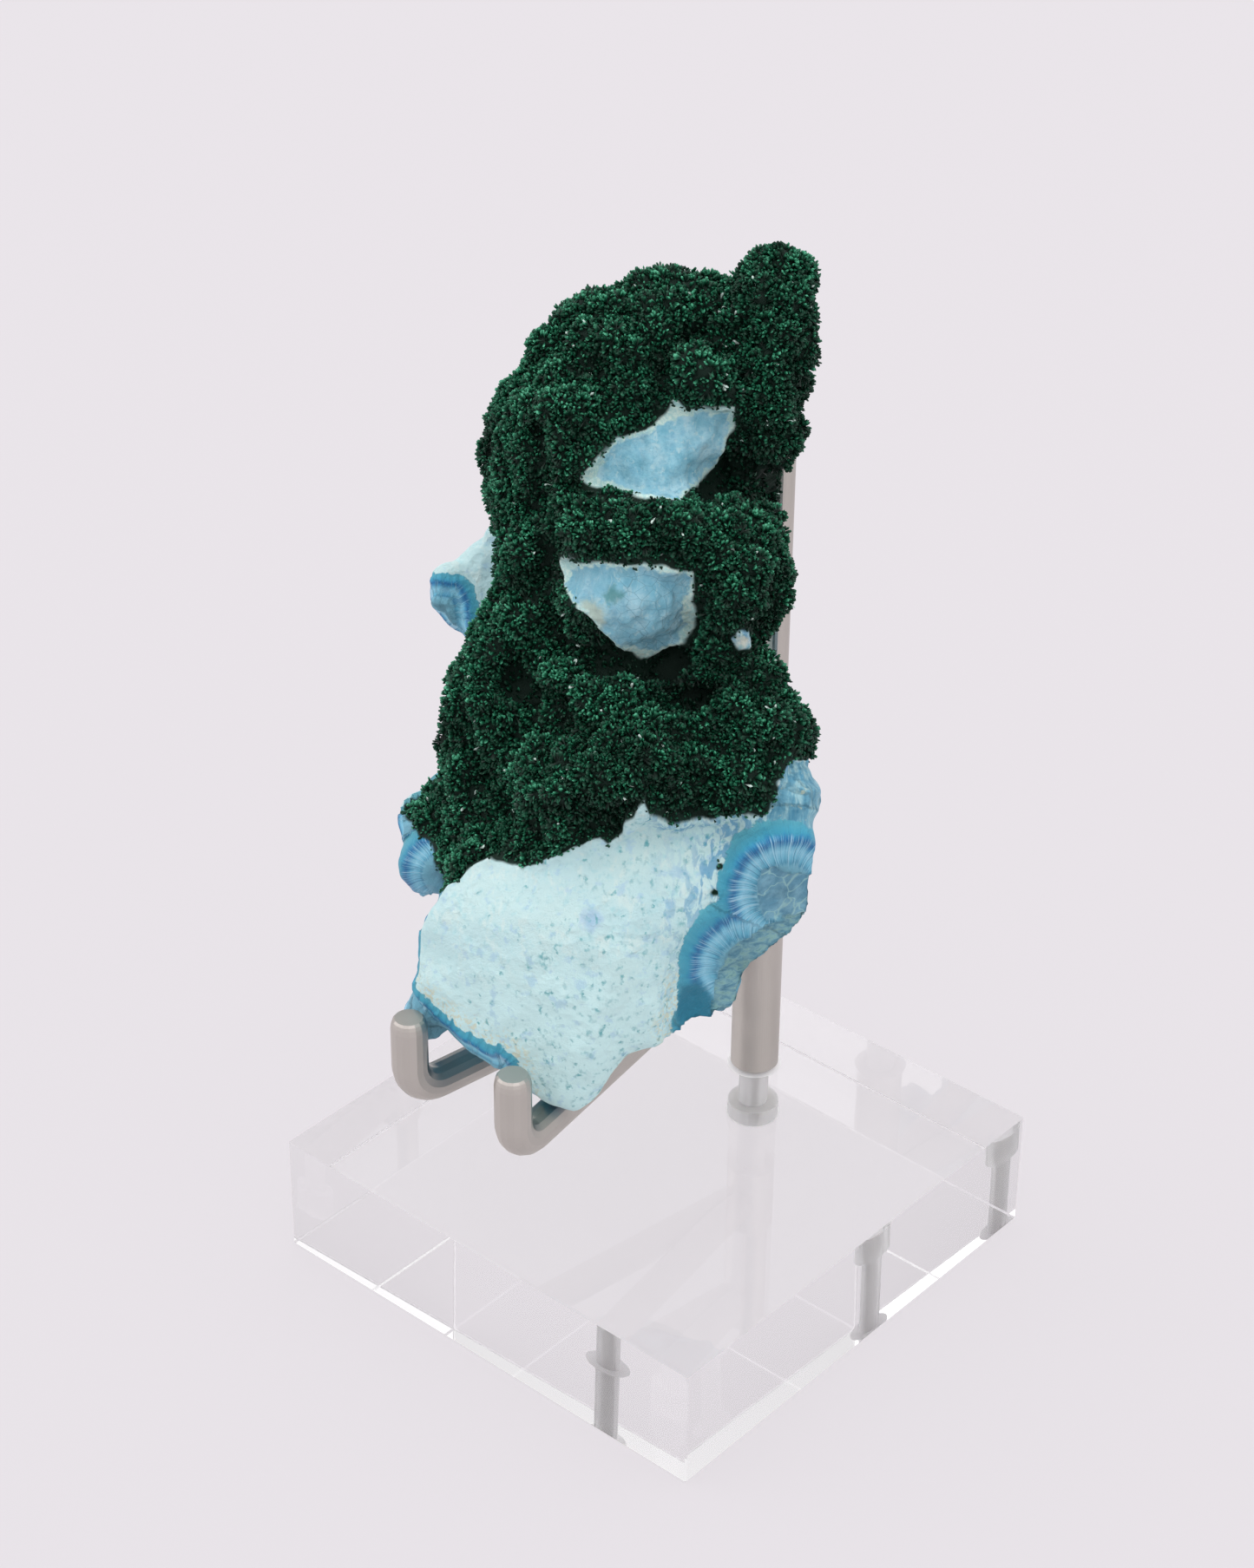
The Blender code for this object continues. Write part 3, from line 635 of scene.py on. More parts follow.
def outlined_malachite(places, facing):
    """How far inside the malachite's outline every vertex lies, with specks and a bare spot."""
    across, along, _ = places.T
    inside = signed_distance(MALACHITE, across, along) + 0.5 * sway(places, 1.8, 4.0)
    for speck in SPECKS:
        gap = np.linalg.norm(places - speck, axis=1)
        inside = np.maximum(inside, SPECK_SIZE - gap)
    (spot_across, spot_along), spot_reach = BARE_SPOT
    spot_gap = np.hypot(0.7 * (across - spot_across), along - spot_along) - spot_reach
    return np.where(facing > 0, np.minimum(inside, spot_gap + 0.5 * sway(places, 1.2)), inside)


def malachite_limit(places, facing, drift):
    """How far every vertex is from where the stone turns away too much for malachite."""
    past_across = np.clip((places[:, 0] - HEAD_FROM[0]) / HEAD_BLEND, 0.0, 1.0)
    past_along = np.clip((places[:, 1] - HEAD_FROM[1]) / HEAD_BLEND, 0.0, 1.0)
    at_head = past_across * past_along
    least_facing = MALACHITE_LEAST_FACING + (HEAD_LEAST_FACING - MALACHITE_LEAST_FACING) * at_head
    return (facing - least_facing) * FACING_REACH + MALACHITE_DRIFT * drift


def find_broken(places, facing, drift, back_piece):
    """How far inside a broken face every vertex lies."""
    across, along, out = places.T
    front_break = signed_distance(BREAK, across, along)
    front_break[out < FRONT_LEAST_OUT] = FAR
    edge_band = signed_distance(EDGE_BAND, across, along) + 0.6 * sway(places, 1.5, 8.0)
    front_break = np.maximum(front_break, np.where(out < EDGE_BAND_MOST_OUT, edge_band, -FAR))
    low_side = (across > LOW_SIDE_LEAST_ACROSS) & (along < LOW_SIDE_MOST_ALONG)
    side_facing = np.where(low_side, LOW_SIDE_FACING, SIDE_FACING)
    side_break = (side_facing - facing) * FACING_REACH + drift
    on_left_lump = (across < LEFT_LUMP_MOST_ACROSS) & (out < LEFT_LUMP_MOST_OUT)
    on_left_lump &= along > LEFT_LUMP_LEAST_ALONG
    left_lump = np.where(on_left_lump, WELL_INSIDE, -FAR)
    broken = np.maximum(np.maximum(front_break, side_break), left_lump)
    bare_back = signed_distance(BACK_PIECE_SKIN, across, along)
    return np.where(back_piece > 0, -bare_back, broken)


def find_nodules(places, facing):
    """Distance to the middle of a nodule, how far the back reaches, and where one is whole."""
    bent = np.stack([sway(places, 5.0, shift) for shift in (1.0, 12.0, 23.0)], axis=1)
    gaps, centres = cell_noise(places + NODULE_BEND * bent, NODULE_SIZE)
    kind = sway(centres, 0.37, 5.0)
    behind = np.clip((-facing - BEHIND_FROM) / BEHIND_BLEND, 0.0, 1.0)
    whole = (behind > 0.5) & (kind < NODULE_WHOLE_UNDER)
    return gaps, behind, whole


def find_regions(places, normals):
    """How far inside each region of the stone every vertex lies, in mm."""
    across, along, out = places.T
    facing = normals[:, 2]
    drift = sway(places, DRIFT_SIZE)
    windows, rim = find_windows(places, facing)
    back_piece = signed_distance(BACK_PIECE, across, along)
    back_piece[out > BACK_PIECE_MOST_OUT] = -FAR
    patch = signed_distance(PATCH, across, along) + 0.4 * sway(places, 1.4, 2.0)
    patch[out < PATCH_LEAST_OUT] = -FAR
    outlined = outlined_malachite(places, facing)
    malachite = np.minimum(outlined, malachite_limit(places, facing, drift))
    malachite = np.minimum(malachite, np.minimum(-windows, -back_piece))
    malachite = np.maximum(malachite, patch)
    windows = np.minimum(windows, -patch)
    nodule, behind, whole = find_nodules(places, facing)
    broken = find_broken(places, facing, drift, back_piece)
    regions = {
        "malachite": malachite,
        "crystals": outlined - 0.2 - 0.6 * sway(places, 3.0, 7.0),
        "patch": patch,
        "notch": np.where(out > NOTCH_LEAST_OUT, signed_distance(NOTCH, across, along), -FAR),
        "window_rim": windows - 0.15 - rim,
        "window": windows,
        "broken": np.where(whole, WELL_OUTSIDE, broken),
        "behind": behind,
        "nodule": nodule,
    }
    seen = out > CORE_LEAST_OUT + CORE_DRIFT * drift
    for name, outline in (("core", CORE), ("rind", RIND), ("plate", PLATE)):
        regions[name] = np.where(seen, signed_distance(outline, across, along), -FAR)
    return regions


def find_bands(places, regions):
    """Where each vertex lies in the bands of a break, and along which ray.

    A ring value of 1 is the dark band, and less is nearer the growth's core.
    """
    rings = np.full(len(places), np.inf)
    rays = np.zeros_like(places)
    for centre, radius in RINGS:
        offset = places[:, :2] - centre
        distance = np.hypot(*offset.T)
        ring = distance / radius
        closer = ring < rings
        rings[closer] = ring[closer]
        direction = offset / np.maximum(distance, 0.01)[:, None]
        rays[closer, :2] = direction[closer] * RAYS_ROUND
        rays[closer, 2] = radius
    skin = np.flatnonzero((regions["broken"] < 0) & (regions["malachite"] < EDGE_MARGIN))
    tree = kdtree.KDTree(len(skin))
    for index in skin:
        tree.insert(places[index], index)
    tree.balance()
    across, _, out = places.T
    on_right = (across > RIGHT_RINGS_LEAST_ACROSS) & (out > FRONT_LEAST_OUT)
    on_left = (across < LEFT_RING_MOST_ACROSS) & (rings < LEFT_RING_REACH)
    in_growth = (on_right | on_left) & (rings < RING_REACH)
    for index in np.flatnonzero((regions["broken"] > -EDGE_MARGIN) & ~in_growth):
        nearest, _, depth = tree.find(places[index])
        rings[index] = SKIN_EDGE_RING - depth / SIDE_BAND
        rays[index] = nearest
    return rings, rays


def ground_height(places, normals, regions):
    """Height in mm of the malachite's ground, and how much each place lies in a crevice,
    for the painted shade of the crystals there.
    """
    lumps, _ = cell_noise(places + 0.8 * sway(places, 3.0)[:, None], LUMP_SIZE)
    small_lumps, _ = cell_noise(places, SMALL_LUMP_SIZE)
    height = -MALACHITE_DEPTH + LUMP_TOP - LUMP_FALL * lumps ** 2 - SMALL_LUMP_FALL * small_lumps ** 2
    height += 0.8 * sway(places, 8.0, 3.0)
    height += PATCH_HEIGHT * share_inside(regions["patch"], PATCH_BLEND)
    height += swell_height(places[:, 0], places[:, 1])
    sunk, in_groove = groove_share(places[:, 0], places[:, 1])
    height -= sunk * (normals[:, 2] > 0)
    # How much each place lies in a crevice, between lumps or in a groove, for painted shade
    return height, np.clip((lumps - 0.4) / 0.4 + in_groove, 0.0, 1.0)


def bare_height(places, rings, rays, regions):
    """Height in mm of the bare stone: skin and nodules, banded breaks and rippled windows."""
    skin = 0.28 * sway(places, 5.0) + 0.2 * sway(places * (1.0, 0.7, 1.0), 1.9, 3.0)
    skin += NODULE_HEIGHT * (0.5 - regions["nodule"] ** 2) * regions["behind"]
    bands = 0.18 * sway(rays, 1.0) - 0.25 * np.cos(rings * 9.0)
    bands = np.where(regions["core"] > 0, -CORE_DEPTH, bands)
    bands = np.where(regions["rind"] > 0, -RIND_DEPTH + 0.3 * sway(places, 1.6), bands)
    bands -= share_inside(regions["notch"], NOTCH_BLEND)
    in_break = share_inside(regions["broken"], REGION_BLEND)
    bare = skin * (1 - in_break) + bands * in_break
    ripples = 0.7 * sway(places * (1.5, 0.7, 1.0), 1.9, 9.0) + 0.3 * sway(places, 4.0, 5.0)
    in_window = share_inside(regions["window"], REGION_BLEND)
    return bare * (1 - in_window) + ripples * in_window


def make_stone():
    """The stone's body with its ground, skin, windows and breaks."""
    mesh = fine_copy()
    points = relaxed(points_of(mesh), edges_of(mesh), BODY_SMOOTHING)
    points = to_frame(flatten_break(to_stone(points)))
    move_points(mesh, points)
    places = to_stone(points)
    normals = normals_of(mesh) @ AXES.T
    regions = find_regions(places, normals)
    rings, rays = find_bands(places, regions)
    ground, regions["crevice"] = ground_height(places, normals, regions)
    bare = bare_height(places, rings, rays, regions)
    under = share_inside(regions["malachite"], REGION_BLEND)
    height = bare * (1 - under) + ground * under
    move_points(mesh, to_frame(places + normals * height[:, None]))

    store(mesh, "place", places)
    store(mesh, "ring", rings)
    store(mesh, "ray", rays)
    for name in SHADER_REGIONS:
        store(mesh, name, regions[name])
    mesh.shade_smooth()
    body = add_object("stone_body", mesh, stone_material())
    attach(body, "root")
    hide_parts("specimen")
    return mesh, regions


def spot_share(g, place, spot):
    """How much of a ragged spot shows at each place."""
    (across, along), reach = spot
    flat = g.stretched(place, (1.0, 1.0, 0.0))
    gap = g.vector_math('DISTANCE', flat, (across, along, 0.0), output="Value")
    gap = g.math('ADD', gap, g.math('MULTIPLY', g.noise(place, 0.9, 3.0), 2.0))
    return g.step(gap, reach * 0.9 + 0.5, reach * 1.5 + 0.8, 0.75, 0.0)


def skin_ground(g, place, axes):
    """Pale mint with a fine mottle, whiter strokes, a lavender spot and a foot painted paler as painted
    light.
    """
    broad = g.noise(place, 0.10, 3.0)
    color = g.mix(g.step(broad, 0.35, 0.65), paint(195, 228, 231), paint(203, 232, 232))
    mottle = g.noise(place, 0.8, 5.0, 0.65)
    color = g.mix(g.step(mottle, 0.50, 0.70, 0.0, 0.55), color, paint(166, 217, 223))
    white = g.noise(g.stretched(place, (1.0, 0.6, 1.0)), 0.55, 4.0, 0.6, 0.4)
    color = g.mix(g.step(white, 0.54, 0.64, 0.0, 0.6), color, paint(216, 236, 233))
    color = g.mix(spot_share(g, place, LAVENDER_SPOT), color, paint(170, 202, 226))
    # Painted light: the down-facing foot is painted paler
    return g.mix(g.step(axes["Y"], *PAINTED_LIGHT_FOOT_ALONG, 0.9, 0.0), color, paint(211, 245, 246))


def skin_pits(g, place, axes):
    """Small pits, from 0 outside to 1 in their middles, more of them low and to the right."""
    crooked = g.vector_math('ADD', place, g.math('MULTIPLY', g.noise(place, 1.3, 3.0), 1.2))
    more = g.math('ADD', g.math('MULTIPLY', axes["X"], 0.007), g.math('MULTIPLY', axes["Y"], -0.004))
    chance = g.math('ADD', g.noise(place, 0.4, 4.0, 0.65), more)
    stroke = g.cells(g.stretched(crooked, (1.0, 0.5, 1.0)), 1.0).outputs["Distance"]
    reach = g.step(g.noise(place, 1.4, 3.0), 0.38, 0.62, 0.05, 0.70)
    pit = g.step(stroke, 0.02, reach, 1.0, 0.0)
    return g.math('MULTIPLY', pit, g.step(chance, 0.36, 0.52))


def skin_streaks(g, place, axes):
    """Upright streaks of the skin beside the right break."""
    streaks = g.noise(g.stretched(place, (1.0, 0.35, 1.0)), 0.9, 4.0, 0.6, 0.8)
    near = g.step(g.number("broken"), -7.0, -1.0)
    near = g.math('MULTIPLY', near, g.step(axes["X"], *STREAKS_ACROSS))
    near = g.math('MULTIPLY', near, g.step(axes["Y"], *STREAKS_ALONG, 0.3, 1.0))
    near = g.math('MULTIPLY', near, g.step(axes["Z"], *STREAKS_OUT))
    return g.math('MULTIPLY', g.step(streaks, 0.46, 0.58), near)


def skin_color(g, place):
    """Pale mint skin with teal pits and streaks, cream flecks and a fine mottle."""
    axes = g.axes(place)
    color = skin_ground(g, place, axes)
    pit = skin_pits(g, place, axes)
    depth = g.step(g.noise(place, 0.7, 2.0), 0.35, 0.65, 0.35, 1.0)
    color = g.mix(g.math('MULTIPLY', pit, depth), color, paint(96, 172, 180))
    blue = g.step(g.noise(place, 0.45, 4.0, 0.6), 0.56, 0.68, 0.0, 0.45)
    color = g.mix(blue, color, paint(158, 200, 228))
    streak = skin_streaks(g, place, axes)
    color = g.mix(g.math('MULTIPLY', streak, 0.8), color, paint(96, 162, 200))
    flecks = g.math('MULTIPLY', g.step(g.noise(place, 1.3, 4.0, 0.7), 0.50, 0.58), 0.8)
    at_edge = g.step(g.number("broken"), -3.5, -0.6)
    low = g.math('MULTIPLY', at_edge, g.step(axes["Y"], *FLECKS_ALONG, 1.0, 0.0))
    color = g.mix(g.math('MULTIPLY', flecks, low), color, paint(218, 222, 196))
    return g.mix(spot_share(g, place, BARE_SPOT), color, paint(232, 232, 216)), pit


def window_dents(g, place):
    """Small upright dents in parts of the windows, from 0 outside to 1 in their middles."""
    dents = g.cells(g.stretched(place, (1.0, 0.6, 1.0)), 0.75).outputs["Distance"]
    dented = g.step(g.noise(place, 0.2, 2.0), 0.42, 0.58)
    return g.math('MULTIPLY', g.step(dents, 0.08, 0.5, 1.0, 0.0), dented)


def window_color(g, place):
    """Steel-blue skin in the windows, with a crackle, two spots and a pale rim."""
    broad = g.noise(place, 0.3, 5.0, 0.65)
    color = g.ramp(broad, [
        (0.32, paint(124, 192, 214)),
        (0.50, paint(156, 210, 227)),
        (0.66, paint(186, 225, 236)),
    ])
    mottle = g.noise(place, 1.6, 5.0, 0.7)
    color = g.mix(g.step(mottle, 0.50, 0.64, 0.0, 0.45), color, paint(110, 176, 202))
    pale = g.noise(g.stretched(place, (1.0, 0.6, 1.0)), 1.1, 5.0, 0.7, 0.6)
    color = g.mix(g.step(pale, 0.54, 0.64, 0.0, 0.6), color, paint(200, 230, 234))
    axes = g.axes(place)
    color = g.mix(g.step(axes["Y"], *BETWEEN_WINDOWS, 0.3, 0.0), color, paint(116, 172, 194))
    color = g.mix(g.math('MULTIPLY', window_dents(g, place), 0.45), color, paint(112, 178, 206))
    crackle = g.cells(g.stretched(place, (1.0, 1.4, 1.0)), 0.5, 'DISTANCE_TO_EDGE')
    line = g.step(crackle.outputs["Distance"], 0.0, 0.035, 0.6, 0.0)
    line = g.math('MULTIPLY', line, g.step(axes["Y"], *BETWEEN_WINDOWS, 1.0, 0.15))
    line = g.math('MULTIPLY', line, g.step(axes["X"], *CRACKLE_ACROSS, 0.2, 1.0))
    color = g.mix(line, color, paint(84, 134, 156))
    color = g.mix(spot_share(g, place, TEAL_SPOT), color, paint(84, 146, 146))
    color = g.mix(spot_share(g, place, CREAM_SPOT), color, paint(196, 208, 188))
    rag = g.math('MULTIPLY', g.math('SUBTRACT', g.noise(place, 0.9, 4.0), 0.5), 2.2)
    rim = g.step(g.math('ADD', g.number("window_rim"), rag), -0.2, 0.35, 1.0, 0.0)
    crumbs = g.step(g.noise(place, 2.2, 4.0, 0.7), 0.42, 0.60)
    return g.mix(rim, color, g.mix(crumbs, paint(186, 226, 224), paint(218, 242, 234)))


def break_color(g, ring, ray):
    """Bands of a break: grey core, pale silky fibres, dark blue, then teal."""
    ray_noise = g.noise(ray, 1.6, 3.0, 0.6)
    jitter = g.math('MULTIPLY', g.math('SUBTRACT', ray_noise, 0.5), 0.22)
    band = g.math('MULTIPLY', g.math('ADD', ring, jitter), 0.5)
    color = g.ramp(band, [
        (0.00, paint(118, 170, 190)),
        (0.26, paint(120, 184, 206)),
        (0.285, paint(80, 158, 190)),
        (0.32, paint(112, 194, 222)),
        (0.385, paint(148, 216, 242)),
        (0.42, paint(120, 198, 228)),
        (0.45, paint(74, 158, 202)),
        (0.485, paint(36, 116, 172)),
        (0.52, paint(52, 144, 188)),
        (0.555, paint(70, 166, 196)),
        (0.60, paint(80, 172, 198)),
        (0.66, paint(94, 180, 200)),
        (0.72, paint(114, 192, 206)),
    ])
    fibre = g.noise(ray, 5.5, 4.0, 0.7)
    silky = g.math('MULTIPLY', g.step(ring, 0.45, 0.6), g.step(ring, 0.98, 1.1, 1.0, 0.0))
    pale = g.math('MULTIPLY', g.step(fibre, 0.50, 0.62), silky)
    dark = g.math('MULTIPLY', g.step(fibre, 0.36, 0.46, 1.0, 0.0), silky)
    color = g.mix(g.math('MULTIPLY', pale, 0.65), color, paint(184, 228, 246))
    return g.mix(g.math('MULTIPLY', dark, 0.55), color, paint(40, 96, 148)), fibre


def core_color(g, place):
    """Grey-blue core with a few pale veins."""
    broad = g.noise(place, 0.5, 4.0, 0.6)
    color = g.mix(g.step(broad, 0.35, 0.65), paint(100, 160, 188), paint(136, 192, 214))
    warped = g.vector_math('ADD', place, g.math('MULTIPLY', g.noise(place, 0.35, 2.0), 3.0))
    veins = g.cells(warped, 0.26, 'DISTANCE_TO_EDGE')
    line = g.step(veins.outputs["Distance"], 0.005, 0.045, 0.75, 0.0)
    return g.mix(line, color, paint(170, 218, 220))


def rind_color(g, place):
    """Blue-grey crumbly rind under the fibres, green in places."""
    broad = g.noise(g.stretched(place, (0.5, 1.6, 1.0)), 0.7, 5.0, 0.65, 0.5)
    return g.ramp(broad, [
        (0.34, paint(84, 142, 168)),
        (0.44, paint(110, 165, 184)),
        (0.52, paint(138, 188, 198)),
        (0.58, paint(148, 196, 192)),
        (0.68, paint(104, 160, 178)),
    ])


def plate_color(g, place):
    """Pale teal plate above the break, with upright striations."""
    stripes = g.noise(g.stretched(place, (1.0, 0.25, 1.0)), 1.1, 4.0, 0.6)
    color = g.ramp(stripes, [
        (0.36, paint(84, 152, 182)),
        (0.50, paint(116, 176, 198)),
        (0.62, paint(160, 206, 216)),
    ])
    flecks = g.noise(place, 1.0, 3.0)
    return g.mix(g.step(flecks, 0.62, 0.70, 0.0, 0.6), color, paint(206, 212, 182))


def stone_material():
    """One material for the whole body, painted region by region."""
    material, g = new_material("stone_body")
    place = g.place("place")
    ring = g.number("ring")
    ray = g.place("ray")
    rag = g.math('MULTIPLY', g.math('SUBTRACT', g.noise(place, 0.9, 4.0, 0.6), 0.5), 1.6)

    def ragged(name, width=0.12):
        edge = g.math('ADD', g.number(name), rag)
        return g.step(edge, -width, width)

    skin, pit = skin_color(g, place)
    broken, fibre = break_color(g, ring, ray)
    broken = g.mix(ragged("core"), broken, core_color(g, place))
    broken = g.mix(ragged("rind"), broken, rind_color(g, place))
    broken = g.mix(ragged("plate"), broken, plate_color(g, place))
    # The notch's darker teal is partly its own colour and partly painted shade of the hollow
    broken = g.mix(ragged("notch", 0.9), broken, paint(46, 132, 160))
    is_broken = ragged("broken")
    is_window = g.step(g.number("window"), -0.6, -0.4)
    color = g.mix(is_broken, skin, broken)
    color = g.mix(is_window, color, window_color(g, place))
    is_ground = g.step(g.number("malachite"), 0.0, 0.3)
    green = g.mix(g.step(g.number("crystals"), -0.6, 0.3), paint(10, 58, 43), paint(6, 34, 24))
    color = g.mix(is_ground, color, green)

    grain = g.noise(place, 1.1, 6.0, 0.75)
    normal = g.bump(grain, 0.45 * MM, 0.9)
    dimples = g.cells(g.stretched(place, (0.8, 1.0, 1.0)), 0.8).outputs["Distance"]
    dimpled = g.math('MULTIPLY', dimples, g.step(g.noise(place, 0.12, 2.0, 0.5, 0.5), 0.42, 0.60))
    normal = g.bump(dimpled, 0.30 * MM, 0.9, normal)
    normal = g.bump(pit, 0.12 * MM, -0.8, normal)
    normal = g.bump(g.math('MULTIPLY', window_dents(g, place), is_window), 0.5 * MM, -1.0, normal)
    ribs = g.math('MULTIPLY', fibre, is_broken)
    normal = g.bump(ribs, 0.25 * MM, 0.8, normal)
    roughness = g.math('SUBTRACT', 0.72, g.math('MULTIPLY', is_broken, 0.27))
    g.shade(Base_Color=color, Roughness=roughness, Normal=normal)
    g.shade(Specular_IOR_Level=0.3)
    return material


def crystal_material():
    """Dark green crystals, lighter to their tips, with painted light and shade, a few painted pale as glints.
    """
    material, g = new_material("malachite_crystals")
    color = g.ramp(g.number("corner_tone_and_light"), [
        (0.0, paint(3, 16, 11)),
        (0.35, paint(8, 42, 29)),
        (0.6, paint(18, 72, 51)),
        (0.85, paint(38, 118, 86)),
        (1.0, paint(82, 168, 132)),
    ])
    # Painted highlight: a few crystals are painted pale as glints
    color = g.mix(g.number("glint"), color, paint(200, 220, 212))
    g.shade(Base_Color=color, Roughness=0.45, Specular_IOR_Level=0.25)
    return material


def along_surface(offset, normal):
    """Offsets without their part along the normals."""
    return offset - normal * np.sum(offset * normal, axis=1)[:, None]


def crystal_sites(rng, mesh, regions):
    """The vertices that crystals stand at, and the place and normal of each crystal."""
    ground = np.flatnonzero((regions["malachite"] > CRYSTAL_MARGIN) & (regions["crystals"] > 0))
    sites = rng.choice(ground, round(len(ground) * CRYSTALS_PER_SITE))
    normal = normals_of(mesh)[sites]
    spread = along_surface(rng.normal(0.0, SITE_SPREAD, (len(sites), 3)), normal)
    return sites, points_of(mesh)[sites] + spread, normal


def crystal_corners(rng, place, normal, gaps, offset, edge):
    """The foot and the corners of each crystal, leaning out from the middle of its tuft."""
    count = len(place)
    axis = normal + offset / TUFT_SIZE * 2.0 * TUFT_LEAN + rng.normal(0.0, LEAN_NOISE, (count, 3))
    axis /= np.linalg.norm(axis, axis=1)[:, None]
    foot = place - offset * TUFT_GATHER * MM - axis * FOOT_DEPTH * MM
    length = TUFT_RISE - TUFT_FALL * gaps ** 2 + rng.normal(0.0, LENGTH_NOISE, count)
    length = np.clip(CRYSTAL_LENGTH * length * edge, *LENGTH_RANGE) * MM
    wide = CRYSTAL_WIDTH * MM * rng.uniform(*WIDTH_RANGE, count)
    thick = CRYSTAL_THICKNESS * MM * rng.uniform(*THICKNESS_RANGE, count)
    side = np.cross(axis, rng.normal(0.0, 1.0, (count, 3)))
    side /= np.linalg.norm(side, axis=1)[:, None]
    other = np.cross(axis, side)

    def corner(height, across, through):
        up = axis * (length * height)[:, None]
        return foot + up + side * (wide * across)[:, None] + other * (thick * through)[:, None]

    return foot, np.stack([corner(*shares) for shares in CRYSTAL_CORNERS], axis=1)


def crystal_tone_and_light(rng, tuft_centres, gaps, up, left, patch, crevice):
    """How light each crystal is: painted light on top, to the left and on the patch,
    painted shade at the rims of tufts and in crevices.
    """
    tuft_tone = np.clip(0.5 + 0.9 * sway(tuft_centres, 0.61, 2.0), 0.0, 1.0)
    tone_and_light = 0.44 + 0.5 * rng.uniform(0.0, 1.0, len(gaps)) + 0.4 * tuft_tone
    # Painted shade at the rims of tufts and in crevices, painted light on top-facing crystals
    tone_and_light *= (1.12 - 0.65 * gaps) * (0.88 + 0.24 * up) * (1.0 - 0.3 * crevice)
    # Painted light on the raised patch and on the stone's left, where the light falls
    tone_and_light += PATCH_PAINTED_LIGHT * (patch > 0)
    tone_and_light += LEFT_PAINTED_LIGHT * left
    return tone_and_light


def make_crystals(mesh, regions):
    """The carpet of malachite crystals, in tufts, as a few joined meshes."""
    rng = np.random.default_rng(SEED)
    sites, place, normal = crystal_sites(rng, mesh, regions)
    gaps, centres = cell_noise(place / MM, TUFT_SIZE)
    offset = along_surface(place / MM - centres * TUFT_SIZE, normal)
    edge = np.clip(regions["malachite"][sites] / EDGE_REACH, EDGE_LEAST, 1.0)
    foot, corners = crystal_corners(rng, place, normal, gaps, offset, edge)
    # How far left a crystal stands, for the painted light from the left
    left = np.clip((LEFT_FROM - to_stone(place)[:, 0]) / LEFT_BLEND, 0.0, 1.0)
    patch, crevice = regions["patch"][sites], regions["crevice"][sites]
    tone_and_light = crystal_tone_and_light(rng, centres, gaps, normal[:, 2], left, patch, crevice)
    # Lightness of each corner, with the painted light and shade, darkest at the foot
    corner_tone_and_light = CORNER_TONE_AND_SHADE * tone_and_light[:, None]
    # A few crystals are painted pale as glints, a painted highlight
    glint = np.where(rng.uniform(0.0, 1.0, len(sites)) > GLINT_ABOVE, 1.0, 0.0)

    material = crystal_material()
    along = to_stone(foot)[:, 1]
    for name, low, high in CRYSTAL_BANDS:
        chosen = np.flatnonzero((along >= low) & (along < high))
        starts = np.arange(len(chosen))[:, None, None] * len(CRYSTAL_CORNERS)
        piece = bpy.data.meshes.new("malachite_" + name)
        piece.from_pydata(corners[chosen].reshape(-1, 3), [], (starts + CRYSTAL_FACES).reshape(-1, 3))
        store(piece, "corner_tone_and_light", corner_tone_and_light[chosen].ravel())
        store(piece, "glint", np.repeat(glint[chosen], len(CRYSTAL_CORNERS)))
        carpet = add_object(piece.name, piece, material)
        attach(carpet, "root")


def steel_material():
    """Satin steel, turned, with a faint broad cloudiness and a few pits."""
    material, g = new_material("stainless_steel")
    place = g.object_place()
    broad = g.noise(place, 160.0, 4.0, 0.6)
    pits = g.cells(place, 500.0)
    pit = g.step(pits.outputs["Distance"], 0.05, 0.14, 1.0, 0.0)
    rare = g.step(g.noise(place, 300.0, 1.0), 0.70, 0.74)
    pit = g.math('MULTIPLY', pit, rare)
    color = g.mix(g.math('MULTIPLY', pit, 0.5), STEEL_COLOR, PIT_COLOR)
    roughness = g.step(broad, 0.3, 0.7, *STEEL_ROUGHNESS)
    normal = g.bump(pit, 0.03 * MM, -0.5)
    upright = g.node("ShaderNodeCombineXYZ", {"X": 0.01, "Z": 1.0}).outputs["Vector"]
    g.shade(Base_Color=color, Roughness=roughness, Normal=normal, Tangent=upright)
    g.shade(Metallic=1.0, Anisotropic=STEEL_ANISOTROPY)
    return material


